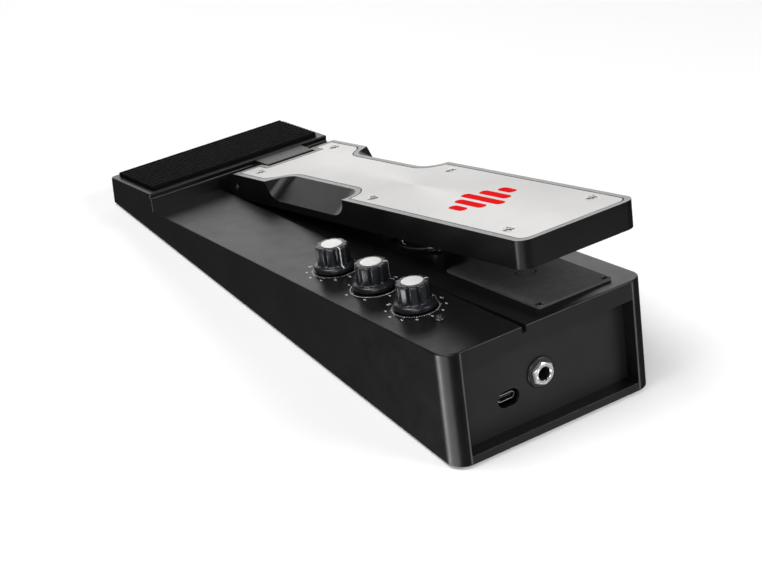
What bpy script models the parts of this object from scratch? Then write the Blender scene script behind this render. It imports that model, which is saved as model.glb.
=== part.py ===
"""Guitar effects pedal with a sprung footboard, three control knobs and a trigger pad under the toe.

The frame: origin on the ground under the middle of the base, +X towards the toe end with the
sockets, -Y the side with the knobs, +Z up.  Lengths are in metres.
"""
import math

import bmesh
import bpy
from mathutils import Matrix, Vector

MM = 0.001
GAP = 0.3 * MM                       # clearance between pieces that touch

# Base casting
LENGTH = 300 * MM
WIDTH = 104.4 * MM
FOOT_RISE = 1.6 * MM                 # the rubber feet hold the casting this far off the ground
WALL = 3 * MM
HEEL_BACK_H = 13.6 * MM              # height of the heel plate at its back edge
HEEL_FRONT_H = 21.5 * MM             # and at its front edge
HEEL_PLATE_L = 44 * MM
STEP_RUN = 2 * MM                    # run of the sloping step below the heel plate
TOE_H = 50.8 * MM                    # height of the toe face, along which it leans back
TOE_LEAN = 7.1 * MM
DECK_HEEL_H = 12.6 * MM              # height of the knob deck at the foot of the step
BAY_HEEL_H = 6.4 * MM                # height of the footboard bay's floor there
TOP_FILLET = 2.2 * MM
TOE_CORNER_R = 8 * MM
HEEL_CORNER_R = 2.6 * MM
LIP_Y = -13.7 * MM                   # inner edge of the knob deck
BAY_Y = -11.4 * MM                   # near edge of the bay floor, with a groove between the two
GROOVE_DEPTH = 3 * MM
PLATE_LEDGE = 2 * MM                 # width of the rim around the base plate
PLATE_TOE_LEDGE = 8.2 * MM           # and at the toe end, where the panel stands
PLATE_SEAT = 1.8 * MM                # width of the step that the plate lies on
PLATE_ROOM = FOOT_RISE + 2.3 * MM    # top of the step that takes the base plate
BASE_SCREW_X = (-140 * MM, -66 * MM, 128 * MM)
BASE_SCREW_Y = 41 * MM

# Toe panel, a shallow recess in the leaning toe face
RECESS_MARGIN = 7.9 * MM
RECESS_LOW = 3.6 * MM
RECESS_HIGH = 42.7 * MM
RECESS_DEPTH = 7.5 * MM
PANEL_WALL = 2.5 * MM
JACK_Y = -1.2 * MM
JACK_UP = 23.6 * MM
JACK_THREAD_R = 3.9 * MM
JACK_NUT_R = 5.4 * MM                # to its corners
USB_Y = -18.4 * MM
USB_UP = 17.8 * MM
USB_BACK = 2 * MM                    # how far its shell stands behind the panel's face

# Footboard, in its own frame: x along the board from the hinge pin, z square to it
HINGE_X = -96.2 * MM
HINGE_H = 15.6 * MM
TILT = math.radians(15.1)
HALF_T = 6.3 * MM                    # half the board's thickness, with the pin at mid thickness
BOARD_NEAR = -8.3 * MM
BOARD_FAR = 52.2 * MM
BOARD_TOE = 242.5 * MM
LUG_END = -6.8 * MM
LUG_R = 6 * MM                       # rounding of the lugs' heel ends
KNUCKLE_NEAR = 8.9 * MM
KNUCKLE_FAR = 36.2 * MM
NOTCH_END = 6.6 * MM                 # how far past the pin the gap between the lugs runs
WAIST_HEEL = 31 * MM                 # the scoops in the board's sides, from here
WAIST_TOE = 103.8 * MM               # to here
WAIST_NEAR = 4.4 * MM
WAIST_FAR = 41.5 * MM
WAIST_HEEL_R = 10 * MM
WAIST_TOE_R = 11 * MM
SCOOP_DROP = 8.8 * MM
SCOOP_SLANT = 0.42                   # how far the scoops' heel edge runs towards the heel, per length out
BOARD_CORNER_R = 6 * MM
PLATE_T = 1.4 * MM
PLATE_INSET = 3.1 * MM
PLATE_GAP = 0.5 * MM                 # the dark line round the plate
PLATE_HEEL = 1.7 * MM                # where the plate starts on the lugs
POCKET_DEPTH = 7.4 * MM
PIN_R = 2 * MM
BORE_R = 2.3 * MM

# Spring, striker and pad
SPRING_X = 33 * MM
SPRING_Y = 21.2 * MM
SEAT_R = 19.8 * MM                   # the seat lies in a round recess in the bay floor
SEAT_SINK = 1.6 * MM
SPRING_R = 15 * MM
WIRE_R = 1.1 * MM
SPRING_TURNS = 4.5
STRIKER_ALONG = 200 * MM
STRIKER_R = 6 * MM
STRIKER_DROP = 4 * MM                # how far the striker hangs below the board
PAD_HEEL_X = 70.6 * MM
PAD_TOE_X = 135.6 * MM
PAD_NEAR = 1 * MM
PAD_FAR = 40 * MM
PAD_T = 1.4 * MM
PAD_SCREW_INSET = 1.9 * MM
BUTTON_X = 101.5 * MM
BUTTON_Y = 21 * MM
BUTTON_R = 4.2 * MM

# Controls
KNOB_X = (30.8 * MM, 62.1 * MM, 93.4 * MM)
KNOB_Y = -31.2 * MM
KNOB_H = 11.2 * MM
KNOB_LIFT = 0.8 * MM
LOBE_DEPTH = 0.045
LED_X = 110.6 * MM
LED_Y = -31.5 * MM
LED_R = 2.1 * MM                     # the bezel's barrel

HALF_L = LENGTH / 2
HALF_W = WIDTH / 2
STEP_X = -HALF_L + HEEL_PLATE_L
DECK_X0 = STEP_X + STEP_RUN
TOE_TOP_X = HALF_L - TOE_LEAN
DECK_SLOPE = (TOE_H - DECK_HEEL_H) / (TOE_TOP_X - DECK_X0)
BAY_SLOPE = (TOE_H - BAY_HEEL_H) / (TOE_TOP_X - DECK_X0)
TOE_ANGLE = math.atan2(TOE_LEAN, TOE_H)
BOARD_MID = (BOARD_NEAR + BOARD_FAR) / 2


# ---------------------------------------------------------------- scene and materials

def clear_scene():
    for obj in list(bpy.data.objects):
        bpy.data.objects.remove(obj, do_unlink=True)


def new_collection(name):
    coll = bpy.data.collections.new(name)
    bpy.context.scene.collection.children.link(coll)
    return coll


def material(name, colour, roughness, metallic=0.0):
    mat = bpy.data.materials.new(name)
    mat.use_nodes = True
    shader = mat.node_tree.nodes["Principled BSDF"]
    shader.inputs["Base Color"].default_value = (*colour, 1.0)
    shader.inputs["Roughness"].default_value = roughness
    shader.inputs["Metallic"].default_value = metallic
    mat.diffuse_color = (*colour, 1.0)
    return mat


def new_object(name, mesh, coll):
    obj = bpy.data.objects.new(name, mesh)
    coll.objects.link(obj)
    return obj


def node(name, obj, mat, parent=None):
    """Names a finished piece, moves it to the part's collection and gives it its material."""
    for coll in list(obj.users_collection):
        coll.objects.unlink(obj)
    PEDAL.objects.link(obj)
    obj.name = name
    obj.data.name = name
    obj.data.materials.clear()
    obj.data.materials.append(mat)
    if parent is not None:
        obj.parent = parent
    return obj


def empty(name, place, parent=None):
    obj = bpy.data.objects.new(name, None)
    PEDAL.objects.link(obj)
    obj.matrix_local = place
    obj.empty_display_size = 0.01
    obj.parent = parent
    return obj


# ---------------------------------------------------------------- shape tools

def baked(obj):
    """The object's evaluated shape as a plain mesh, welded, with any lost sliver face put back."""
    bpy.context.view_layer.update()
    depsgraph = bpy.context.evaluated_depsgraph_get()
    mesh = bpy.data.meshes.new_from_object(obj.evaluated_get(depsgraph))
    bm = bmesh.new()
    bm.from_mesh(mesh)
    bmesh.ops.remove_doubles(bm, verts=bm.verts, dist=1e-6)
    bmesh.ops.holes_fill(bm, edges=[e for e in bm.edges if e.is_boundary], sides=3)
    bmesh.ops.recalc_face_normals(bm, faces=bm.faces)
    bm.to_mesh(mesh)
    bm.free()
    plain = new_object(obj.name, mesh, WORKSHOP)
    plain.matrix_world = obj.matrix_world
    bpy.data.objects.remove(obj, do_unlink=True)
    return plain


def slab(points, low, high, axis="Z"):
    """A flat outline extruded from low to high: along Z, or along Y with the outline in XZ."""
    curve = bpy.data.curves.new("outline", "CURVE")
    curve.dimensions = "2D"
    curve.fill_mode = "BOTH"
    curve.extrude = (high - low) / 2
    spline = curve.splines.new("POLY")
    spline.points.add(len(points) - 1)
    for point, (u, v) in zip(spline.points, points):
        point.co = (u, v, 0, 1)
    spline.use_cyclic_u = True
    obj = new_object("slab", curve, WORKSHOP)
    obj = baked(obj)
    obj.data.transform(Matrix.Translation((0, 0, (low + high) / 2)))
    if axis == "Y":
        obj.data.transform(Matrix(((1, 0, 0, 0), (0, 0, 1, 0), (0, 1, 0, 0), (0, 0, 0, 1))))
        obj.data.flip_normals()
    return obj


def box(low, high):
    bm = bmesh.new()
    bmesh.ops.create_cube(bm, size=1)
    size = [h - l for l, h in zip(low, high)]
    middle = [(h + l) / 2 for l, h in zip(low, high)]
    bmesh.ops.scale(bm, vec=size, verts=bm.verts)
    bmesh.ops.translate(bm, vec=middle, verts=bm.verts)
    return from_bmesh(bm)


def cylinder(radius, low, high, place=None, steps=24):
    """A cylinder along Z from low to high, then moved by the matrix."""
    bm = bmesh.new()
    bmesh.ops.create_cone(bm, cap_ends=True, segments=steps, radius1=radius, radius2=radius,
                          depth=high - low)
    bmesh.ops.translate(bm, vec=(0, 0, (low + high) / 2), verts=bm.verts)
    if place is not None:
        bmesh.ops.transform(bm, matrix=place, verts=bm.verts)
    return from_bmesh(bm)


def from_bmesh(bm):
    mesh = bpy.data.meshes.new("piece")
    bm.to_mesh(mesh)
    bm.free()
    return new_object("piece", mesh, WORKSHOP)


def turned(profile, place=None, steps=32):
    """A profile of (radius, height), from the top down its outer side, spun about Z."""
    bm = bmesh.new()
    verts = [bm.verts.new((r, 0, z)) for r, z in profile]
    for a, b in zip(verts, verts[1:]):
        bm.edges.new((a, b))
    obj = from_bmesh(bm)
    screw = obj.modifiers.new("Screw", "SCREW")
    screw.steps = steps
    screw.render_steps = steps
    screw.use_merge_vertices = True
    screw.merge_threshold = 1e-6
    screw.use_smooth_shade = True
    obj = baked(obj)
    if place is not None:
        obj.data.transform(place)
    return obj


def combine(target, others, operation):
    """Adds or takes away each of the other solids, exactly."""
    for other in others:
        step = target.modifiers.new("Boolean", "BOOLEAN")
        step.operation = operation
        step.solver = "EXACT"
        step.object = other
    target = baked(target)
    for other in others:
        bpy.data.objects.remove(other, do_unlink=True)
    return target


def cut(target, others):
    return combine(target, others, "DIFFERENCE")


def join(target, others):
    return combine(target, others, "UNION")


def merge_flat(obj):
    """Joins faces that lie in one plane, and drops points on straight edges."""
    bm = bmesh.new()
    bm.from_mesh(obj.data)
    bmesh.ops.dissolve_limit(bm, angle_limit=math.radians(0.2), verts=bm.verts, edges=bm.edges)
    bm.to_mesh(obj.data)
    bm.free()


def bevel_where(obj, test, radius, steps):
    """Rounds the sharp edges whose two ends both pass the test."""
    bm = bmesh.new()
    bm.from_mesh(obj.data)
    edges = []
    for edge in bm.edges:
        sharp = len(edge.link_faces) == 2 and edge.calc_face_angle(0) > math.radians(30)
        if sharp and test(edge.verts[0].co, edge.verts[1].co):
            edges.append(edge)
    bmesh.ops.bevel(bm, geom=edges, offset=radius, offset_type="OFFSET", segments=steps,
                    profile=0.5, affect="EDGES", clamp_overlap=True)
    bmesh.ops.remove_doubles(bm, verts=bm.verts, dist=2e-6)
    bm.to_mesh(obj.data)
    bm.free()


def smooth(obj, angle=35):
    """Shades round surfaces smooth and keeps edges sharper than the angle."""
    for face in obj.data.polygons:
        face.use_smooth = True
    obj.data.set_sharp_from_angle(angle=math.radians(angle))
    return obj


def arc(cx, cy, radius, start, end, steps):
    """Points along an arc, with angles in degrees."""
    turn = [math.radians(start + (end - start) * i / steps) for i in range(steps + 1)]
    return [(cx + radius * math.cos(a), cy + radius * math.sin(a)) for a in turn]


# ---------------------------------------------------------------- surfaces of the base

def toe_x(height):
    return HALF_L - TOE_LEAN * height / TOE_H


def deck_z(x):
    return FOOT_RISE + DECK_HEEL_H + DECK_SLOPE * (x - DECK_X0)


def bay_z(x):
    return FOOT_RISE + BAY_HEEL_H + BAY_SLOPE * (x - DECK_X0)


def groove_z(x):
    return bay_z(x) - GROOVE_DEPTH


def heel_z(x):
    return FOOT_RISE + HEEL_BACK_H + (HEEL_FRONT_H - HEEL_BACK_H) * (x + HALF_L) / HEEL_PLATE_L


def sloped_place(x, y, z, slope):
    """A frame at a point of a sloping deck, with z square to the deck and x up the slope."""
    return Matrix.Translation((x, y, z)) @ Matrix.Rotation(-math.atan(slope), 4, "Y")


def panel_place(y, up):
    """A frame on the floor of the toe recess: z points out of the panel, y up it."""
    along = Vector((-math.sin(TOE_ANGLE), 0, math.cos(TOE_ANGLE)))
    out = Vector((math.cos(TOE_ANGLE), 0, math.sin(TOE_ANGLE)))
    origin = Vector((HALF_L, y, FOOT_RISE)) + along * up - out * RECESS_DEPTH
    side = along.cross(out)
    return Matrix((
        (side.x, along.x, out.x, origin.x),
        (side.y, along.y, out.y, origin.y),
        (side.z, along.z, out.z, origin.z),
        (0, 0, 0, 1),
    ))


# ---------------------------------------------------------------- base

def side_profile(floor_h, slope, top_drop=0.0):
    """The base's side view, with the given floor beyond the heel step, lowered by top_drop."""
    toe_h = TOE_H - top_drop
    return [
        (-HALF_L, FOOT_RISE),
        (HALF_L, FOOT_RISE),
        (toe_x(toe_h), FOOT_RISE + toe_h),
        (DECK_X0, FOOT_RISE + floor_h - top_drop),
        (STEP_X, FOOT_RISE + HEEL_FRONT_H),
        (-HALF_L, FOOT_RISE + HEEL_BACK_H),
    ]


def knuckle():
    """The block between the footboard's lugs that carries the hinge pin."""
    top = FOOT_RISE + HEEL_FRONT_H + 1.2 * MM
    pin_z = FOOT_RISE + HINGE_H
    nose = HINGE_X + 5.4 * MM
    outline = [(STEP_X - 3 * MM, bay_z(STEP_X) - 2 * MM), (nose, bay_z(nose) - 2 * MM), (nose, pin_z)]
    outline += arc(nose - 4 * MM, top - 3.6 * MM, 4 * MM, 10, 80, 4)
    outline.append((STEP_X - 3 * MM, heel_z(STEP_X - 3 * MM) - 0.6 * MM))
    body = slab(outline, KNUCKLE_NEAR, KNUCKLE_FAR, "Y")
    return body


def base_outside():
    near = slab(side_profile(DECK_HEEL_H, DECK_SLOPE), -HALF_W, LIP_Y, "Y")
    channel = slab(side_profile(BAY_HEEL_H, BAY_SLOPE, GROOVE_DEPTH), LIP_Y, BAY_Y, "Y")
    far = slab(side_profile(BAY_HEEL_H, BAY_SLOPE), BAY_Y, HALF_W, "Y")
    body = join(near, [channel, far])
    merge_flat(body)

    def toe_corner(a, b):
        upright = abs(a.z - b.z) > 20 * MM and abs(a.y - b.y) < MM
        return upright and min(a.x, b.x) > 0 and min(abs(a.y), abs(b.y)) > HALF_W - MM

    def heel_corner(a, b):
        return max(a.x, b.x) < -HALF_L + MM and abs(a.z - b.z) > 5 * MM

    def top_edge(a, b):
        raised = min(a.z, b.z) > FOOT_RISE + 2 * MM
        rim = raised and min(abs(a.y), abs(b.y)) > HALF_W - 9 * MM and a.y * b.y > 0
        toe = raised and min(a.x, b.x) > TOE_TOP_X - MM and abs(a.y - b.y) > 5 * MM
        heel = raised and max(a.x, b.x) < STEP_X + MM and abs(a.y - b.y) > 5 * MM
        return rim or toe or heel

    bevel_where(body, toe_corner, TOE_CORNER_R, 6)
    bevel_where(body, heel_corner, HEEL_CORNER_R, 2)
    bevel_where(body, top_edge, TOP_FILLET, 3)
    return body


def base_cavity():
    """The room inside the casting, open below."""
    top = WALL / math.cos(math.atan(BAY_SLOPE))
    back = RECESS_DEPTH + PANEL_WALL
    start = -58 * MM
    low = FOOT_RISE - MM

    def room(floor, y0, y1):
        roof = floor(TOE_TOP_X - back) - top
        outline = [(start, low), (toe_x(0) - back, low), (toe_x(roof - FOOT_RISE) - back, roof)]
        outline.append((start, floor(start) - top))
        return slab(outline, y0, y1, "Y")

    side = HALF_W - PLATE_LEDGE - PLATE_SEAT
    near = room(deck_z, -side, LIP_Y - WALL)
    middle = room(groove_z, LIP_Y - 2 * WALL, BAY_Y + 2 * WALL)
    far = room(bay_z, BAY_Y + WALL, side)
    ledge = box((-HALF_L + PLATE_LEDGE, -HALF_W + PLATE_LEDGE, 0),
                (HALF_L - PLATE_TOE_LEDGE, HALF_W - PLATE_LEDGE, PLATE_ROOM))
    return join(near, [middle, far, ledge])


def screw_bosses():
    """Posts from the roof down to the base plate, for the two screws at the toe end."""
    bosses = []
    for y, floor in ((-BASE_SCREW_Y, deck_z), (BASE_SCREW_Y, bay_z)):
        x = BASE_SCREW_X[2]
        place = Matrix.Translation((x, y, 0))
        bosses.append(cylinder(4.2 * MM, PLATE_ROOM, floor(x) - 2 * MM, place, steps=16))
    return bosses


def base_housing():
    body = join(base_outside(), [knuckle()])
    panel = panel_place(0, (RECESS_LOW + RECESS_HIGH) / 2)
    wide = HALF_W - RECESS_MARGIN
    tall = (RECESS_HIGH - RECESS_LOW) / 2
    recess = box((-wide, -tall, 0), (wide, tall, 20 * MM))
    recess.data.transform(panel)
    body = cut(body, [recess, base_cavity()])
    body = join(body, screw_bosses())

    holes = [cylinder(JACK_THREAD_R + GAP, -20 * MM, 5 * MM, panel_place(JACK_Y, JACK_UP))]
    usb = slab(stadium(11 * MM, 7.4 * MM), -20 * MM, 5 * MM)
    usb.data.transform(panel_place(USB_Y, USB_UP))
    holes.append(usb)
    for x in KNOB_X:
        holes.append(cylinder(3.8 * MM, -15 * MM, 9 * MM, sloped_place(x, KNOB_Y, deck_z(x), DECK_SLOPE)))
    led_place = sloped_place(LED_X, LED_Y, deck_z(LED_X), DECK_SLOPE)
    holes.append(cylinder(LED_R + 0.1 * MM, -15 * MM, 9 * MM, led_place))
    button = sloped_place(BUTTON_X, BUTTON_Y, bay_z(BUTTON_X), BAY_SLOPE)
    holes.append(cylinder(BUTTON_R + GAP, -15 * MM, 9 * MM, button))
    holes.append(cylinder(SEAT_R + GAP, 0, 9 * MM, spring_recess(), steps=28))
    holes.append(cylinder(3.7 * MM, KNUCKLE_NEAR - MM, KNUCKLE_FAR + MM, hinge_place()))
    for place in base_screw_places():
        holes.append(cylinder(1.5 * MM, 0, 9 * MM, place, steps=12))
    for place in pad_screw_places():
        holes.append(cylinder(1.1 * MM, -4.8 * MM, 9 * MM, place, steps=12))
    body = cut(body, holes)
    return node("base_housing", smooth(body), BLACK_PAINT)


def stadium(width, height, steps=8):
    r = height / 2
    half = width / 2 - r
    return arc(half, 0, r, -90, 90, steps) + arc(-half, 0, r, 90, 270, steps)


def hinge_place():
    """Z runs along the hinge pin, towards +Y."""
    turn = Matrix.Rotation(math.radians(-90), 4, "X")
    return Matrix.Translation((HINGE_X, 0, FOOT_RISE + HINGE_H)) @ turn


def base_screw_places():
    rows = (-BASE_SCREW_Y, BASE_SCREW_Y)
    return [Matrix.Translation((x, y, FOOT_RISE)) for x in BASE_SCREW_X for y in rows]


def base_plate():
    low = FOOT_RISE + 0.3 * MM
    edge = PLATE_LEDGE + GAP
    toe = HALF_L - PLATE_TOE_LEDGE - GAP
    body = box((-HALF_L + edge, -HALF_W + edge, low), (toe, HALF_W - edge, low + 1.7 * MM))
    holes = [cylinder(1.8 * MM, -MM, 9 * MM, place, steps=16) for place in base_screw_places()]
    body = cut(body, holes)
    return node("base_plate", smooth(body), DARK_STEEL)


def base_screws():
    for i, place in enumerate(base_screw_places(), 1):
        profile = [(0, 6.2), (1.2, 6.2), (1.2, 0), (2.9, 0), (2.9, -0.7), (2.2, -1.2), (0, -1.2)]
        body = turned([(r * MM, z * MM) for r, z in profile], place, steps=10)
        node(f"base_screw_{i}", smooth(body), ZINC)


def rubber_feet():
    i = 0
    for x in (-132 * MM, 118 * MM):
        for y in (-32 * MM, 32 * MM):
            i += 1
            top = FOOT_RISE
            profile = [(0, top), (6 * MM, top), (6.4 * MM, top / 2), (5.6 * MM, 0), (0, 0)]
            body = turned(profile, Matrix.Translation((x, y, 0)), steps=16)
            node(f"rubber_foot_{i}", smooth(body), RUBBER)


def heel_mat():
    """A ribbed rubber mat on the heel plate, with its ribs across the pedal."""
    slope = (HEEL_FRONT_H - HEEL_BACK_H) / HEEL_PLATE_L
    length = 37.6 * MM
    ribs = 12
    pitch = length / ribs
    outline = [(length, 0), (0, 0)]
    for i in range(ribs):
        x = i * pitch
        outline += [(x, 1.1 * MM), (x + 0.7 * MM, 1.9 * MM), (x + pitch - 0.9 * MM, 1.9 * MM)]
        outline.append((x + pitch - 0.25 * MM, 1.1 * MM))
    outline.append((length, 1.1 * MM))
    half = HALF_W - 4 * MM
    body = slab(outline, -half, half, "Y")
    x0 = -HALF_L + 3.2 * MM
    body.data.transform(sloped_place(x0, 0, heel_z(x0) + 0.15 * MM, slope))
    return node("heel_mat", body, RUBBER)


# ---------------------------------------------------------------- footboard

def board_outline(inset=0.0):
    """The footboard seen from above, in its own frame, shrunk by inset all round."""
    near = BOARD_NEAR + inset
    far = BOARD_FAR - inset
    toe = BOARD_TOE - inset
    heel = PLATE_HEEL - PLATE_INSET + inset
    r = max(BOARD_CORNER_R - inset, 2 * MM)
    notch = NOTCH_END + inset
    lug_near = KNUCKLE_NEAR - GAP - inset
    lug_far = KNUCKLE_FAR + GAP + inset
    points = [(heel, near)]
    points += waist(inset, BOARD_NEAR, WAIST_NEAR, 1)
    points += arc(toe - r, near + r, r, -90, 0, 5)
    points += arc(toe - r, far - r, r, 0, 90, 5)
    points += reversed(waist(inset, BOARD_FAR, WAIST_FAR, -1))
    points += [(heel, far), (heel, lug_far), (notch, lug_far), (notch, lug_near), (heel, lug_near)]
    return points


def waist(inset, side, waist_y, sign):
    """One scoop's top edge from the lug to the toe part; sign points into the board."""
    outer = side + sign * inset
    end = WAIST_TOE + inset
    r1 = WAIST_HEEL_R + inset
    r2 = WAIST_TOE_R + inset
    toe_centre = waist_y - sign * WAIST_TOE_R
    rise = max(sign * (outer - toe_centre), 0.0)
    last = math.degrees(math.asin(rise / r2))
    points = [(WAIST_HEEL - 1.6 * inset, outer)]
    points += arc(WAIST_HEEL + 12 * MM, waist_y - sign * WAIST_HEEL_R, r1, 155 * sign, 90 * sign, 4)
    points += arc(end - r2, toe_centre, r2, 90 * sign, last * sign, 6)
    if rise == 0.0:
        points.append((end, outer))
    return points


def scoop(side, waist_y, sign):
    """The scoop's volume: the waist's outline swept outwards and down from the board's top."""
    reach = 12 * MM
    beyond = side - sign * reach
    outline = [(WAIST_HEEL - SCOOP_SLANT * reach, beyond)]
    outline += waist(0, side, waist_y, sign)
    outline.append((WAIST_TOE, beyond))
    body = slab(outline, -20 * MM, 20 * MM)
    lean = (waist_y - side) / SCOOP_DROP
    shear = Matrix.Identity(4)
    shear[1][2] = lean
    shear[1][3] = -lean * HALF_T
    body.data.transform(shear)
    return body


def board_block():
    """The board before its cuts: its side view extruded across, with rounded toe corners."""
    outline = arc(LUG_END + LUG_R, HALF_T - LUG_R, LUG_R, 90, 180, 5)
    outline += arc(LUG_END + LUG_R, -HALF_T + LUG_R, LUG_R, 180, 270, 5)
    outline += [(BOARD_TOE - 1.6 * MM, -HALF_T), (BOARD_TOE, HALF_T)]
    body = slab(outline, BOARD_NEAR, BOARD_FAR, "Y")

    def corner(a, b):
        return min(a.x, b.x) > BOARD_TOE - 3 * MM and abs(a.z - b.z) > 5 * MM

    def rim(a, b):
        round_toe = min(a.x, b.x) > BOARD_TOE - 2 * BOARD_CORNER_R
        long_side = abs(a.x - b.x) > 50 * MM
        return round_toe or long_side

    bevel_where(body, corner, BOARD_CORNER_R, 5)
    bevel_where(body, rim, 0.8 * MM, 1)
    return body


def footboard_body():
    body = board_block()
    notch = box((-20 * MM, KNUCKLE_NEAR - GAP, -20 * MM), (NOTCH_END, KNUCKLE_FAR + GAP, 20 * MM))
    bed = slab(board_outline(PLATE_INSET - PLATE_GAP), HALF_T - PLATE_T, HALF_T + 9 * MM)
    pocket = box((WAIST_TOE + 6 * MM, BOARD_NEAR + 5 * MM, -HALF_T - 5 * MM),
                 (BOARD_TOE - 7 * MM, BOARD_FAR - 5 * MM, -HALF_T + POCKET_DEPTH))
    cuts = [notch, scoop(BOARD_NEAR, WAIST_NEAR, 1), scoop(BOARD_FAR, WAIST_FAR, -1), bed, pocket]
    turn = Matrix.Rotation(math.radians(-90), 4, "X")
    cuts.append(cylinder(BORE_R, BOARD_NEAR - MM, BOARD_FAR + MM, turn))
    body = cut(body, cuts)
    striker_place = Matrix.Translation((STRIKER_ALONG, BOARD_MID, 0))
    body = join(body, [cylinder(STRIKER_R + 2 * MM, -HALF_T + 1.5 * MM, 0.5 * HALF_T, striker_place)])
    holes = [cylinder(1.35 * MM, -5.7 * MM, MM, place, steps=12) for place in plate_screw_places()]
    holes.append(cylinder(2.1 * MM, -9 * MM, 1.2 * MM, striker_place, steps=16))
    body = cut(body, holes)
    return node("footboard_body", smooth(body), BLACK_PAINT, BOARD)


def plate_screw_places():
    places = []
    for x in (12 * MM, 117.3 * MM, 221.8 * MM):
        for y in (BOARD_NEAR + 8.9 * MM, BOARD_FAR - 7.9 * MM):
            places.append(Matrix.Translation((x, y, HALF_T)))
    return places


def footboard_plate():
    body = slab(board_outline(PLATE_INSET), HALF_T - PLATE_T + 0.1 * MM, HALF_T)
    holes = [cylinder(1.9 * MM, -9 * MM, 9 * MM, place, steps=16) for place in plate_screw_places()]
    body = cut(body, holes)
    return node("footboard_plate", smooth(body), BRUSHED, BOARD)


def cross_head_screw(place, head_r, shank_r, length, dome):
    """A domed screw with a cross recess, its seat at the place's origin and its head along +z."""
    profile = [(0, dome), (head_r * 0.6, dome * 0.85), (head_r, 0.1 * MM), (head_r, 0)]
    profile += [(shank_r, 0), (shank_r, -length), (0, -length)]
    body = turned(profile, steps=12)
    arm = head_r * 0.55
    slot = 0.14 * head_r
    along = box((-arm, -slot, dome * 0.3), (arm, slot, dome * 2))
    across = box((-slot, -arm, dome * 0.3), (slot, arm, dome * 2))
    body = cut(body, [join(along, [across])])
    body.data.transform(place)
    return smooth(body)


def plate_screws():
    for i, place in enumerate(plate_screw_places(), 1):
        lifted = place @ Matrix.Translation((0, 0, 0.1 * MM))
        body = cross_head_screw(lifted, 2.7 * MM, 1.1 * MM, 5.2 * MM, 0.9 * MM)
        node(f"plate_screw_{i}", body, ZINC, BOARD)


def hinge_pin():
    length = BOARD_FAR - BOARD_NEAR - 0.8 * MM
    low = BOARD_NEAR + 0.4 * MM
    body = cylinder(PIN_R, low, low + length, hinge_place(), steps=24)
    socket = cylinder(1.1 * MM, low - MM, low + 1.6 * MM, hinge_place(), steps=6)
    body = cut(body, [socket])
    return node("hinge_pin", smooth(body), ZINC)


def hinge_bushes():
    length = 6 * MM
    near = KNUCKLE_NEAR + 0.2 * MM
    starts = {"hinge_bush_near": near, "hinge_bush_far": KNUCKLE_FAR - length - 0.2 * MM}
    for name, low in starts.items():
        profile = [(3.4 * MM, length), (3.4 * MM, 0), (BORE_R, 0), (BORE_R, length), (3.4 * MM, length)]
        body = turned(profile, hinge_place() @ Matrix.Translation((0, 0, low)), steps=24)
        node(name, smooth(body), BRONZE)


# ---------------------------------------------------------------- spring, striker and pad

def spring_seat():
    place = spring_recess() @ Matrix.Translation((0, 0, 0.15 * MM))
    profile = [(0, 4.6), (11.4, 4.6), (12.6, 3.8), (13.2, 0.85), (19.4, 0.85), (19.8, 0.5), (19.8, 0), (0, 0)]
    body = turned([(r * MM, z * MM) for r, z in profile], place, steps=28)
    return node("spring_seat", smooth(body), NYLON)


def spring_recess():
    """A frame on the floor of the recess that the spring's seat lies in."""
    return sloped_place(SPRING_X, SPRING_Y, bay_z(SPRING_X), BAY_SLOPE) @ Matrix.Translation((0, 0, -SEAT_SINK))


def return_spring():
    """A coil whose ends lie flat on the seat below and in the footboard's pocket above."""
    steps = 16
    total = int(SPRING_TURNS * steps)
    tilt = math.tan(TILT)
    seat = bay_z(SPRING_X) + (1.3 * MM + WIRE_R - SEAT_SINK) / math.cos(math.atan(BAY_SLOPE))
    along = (SPRING_X - HINGE_X)
    roof = FOOT_RISE + HINGE_H + along * tilt
    roof += (-HALF_T + POCKET_DEPTH - GAP - WIRE_R) / math.cos(TILT)
    points = []
    for i in range(total + 1):
        angle = math.radians(-30) + 2 * math.pi * i / steps
        x = SPRING_R * math.cos(angle)
        y = SPRING_R * math.sin(angle)
        rise = min(max((i - 0.8 * steps) / (total - 1.6 * steps), 0.0), 1.0)
        low = seat + x * BAY_SLOPE
        high = roof + x * tilt
        points.append((SPRING_X + x, SPRING_Y + y, low + (high - low) * rise))
    curve = bpy.data.curves.new("coil", "CURVE")
    curve.dimensions = "3D"
    curve.bevel_depth = WIRE_R
    curve.bevel_resolution = 2
    curve.use_fill_caps = True
    spline = curve.splines.new("POLY")
    spline.points.add(len(points) - 1)
    for point, co in zip(spline.points, points):
        point.co = (*co, 1)
    body = baked(new_object("coil", curve, WORKSHOP))
    return node("return_spring", smooth(body, 60), SPRING_STEEL)


def striker():
    """The rubber striker on the boss under the board, with its pressed-in stem."""
    top = -HALF_T + 1.5 * MM - GAP
    low = -HALF_T - STRIKER_DROP
    profile = [(0, 0.6 * MM), (1.8 * MM, 0.6 * MM), (1.8 * MM, top), (STRIKER_R, top)]
    profile += [(STRIKER_R, low + 1.2 * MM), (STRIKER_R - 1.2 * MM, low), (0, low)]
    body = turned(profile, Matrix.Translation((STRIKER_ALONG, BOARD_MID, 0)), steps=24)
    return node("striker", smooth(body), RUBBER, BOARD)


def pad_place():
    return sloped_place(PAD_HEEL_X, 0, bay_z(PAD_HEEL_X), BAY_SLOPE)


def pad_screw_places():
    length = (PAD_TOE_X - PAD_HEEL_X) / math.cos(math.atan(BAY_SLOPE))
    x = length - PAD_SCREW_INSET
    rows = (PAD_NEAR + PAD_SCREW_INSET, PAD_FAR - PAD_SCREW_INSET)
    return [pad_place() @ Matrix.Translation((x, y, PAD_T)) for y in rows]


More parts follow.
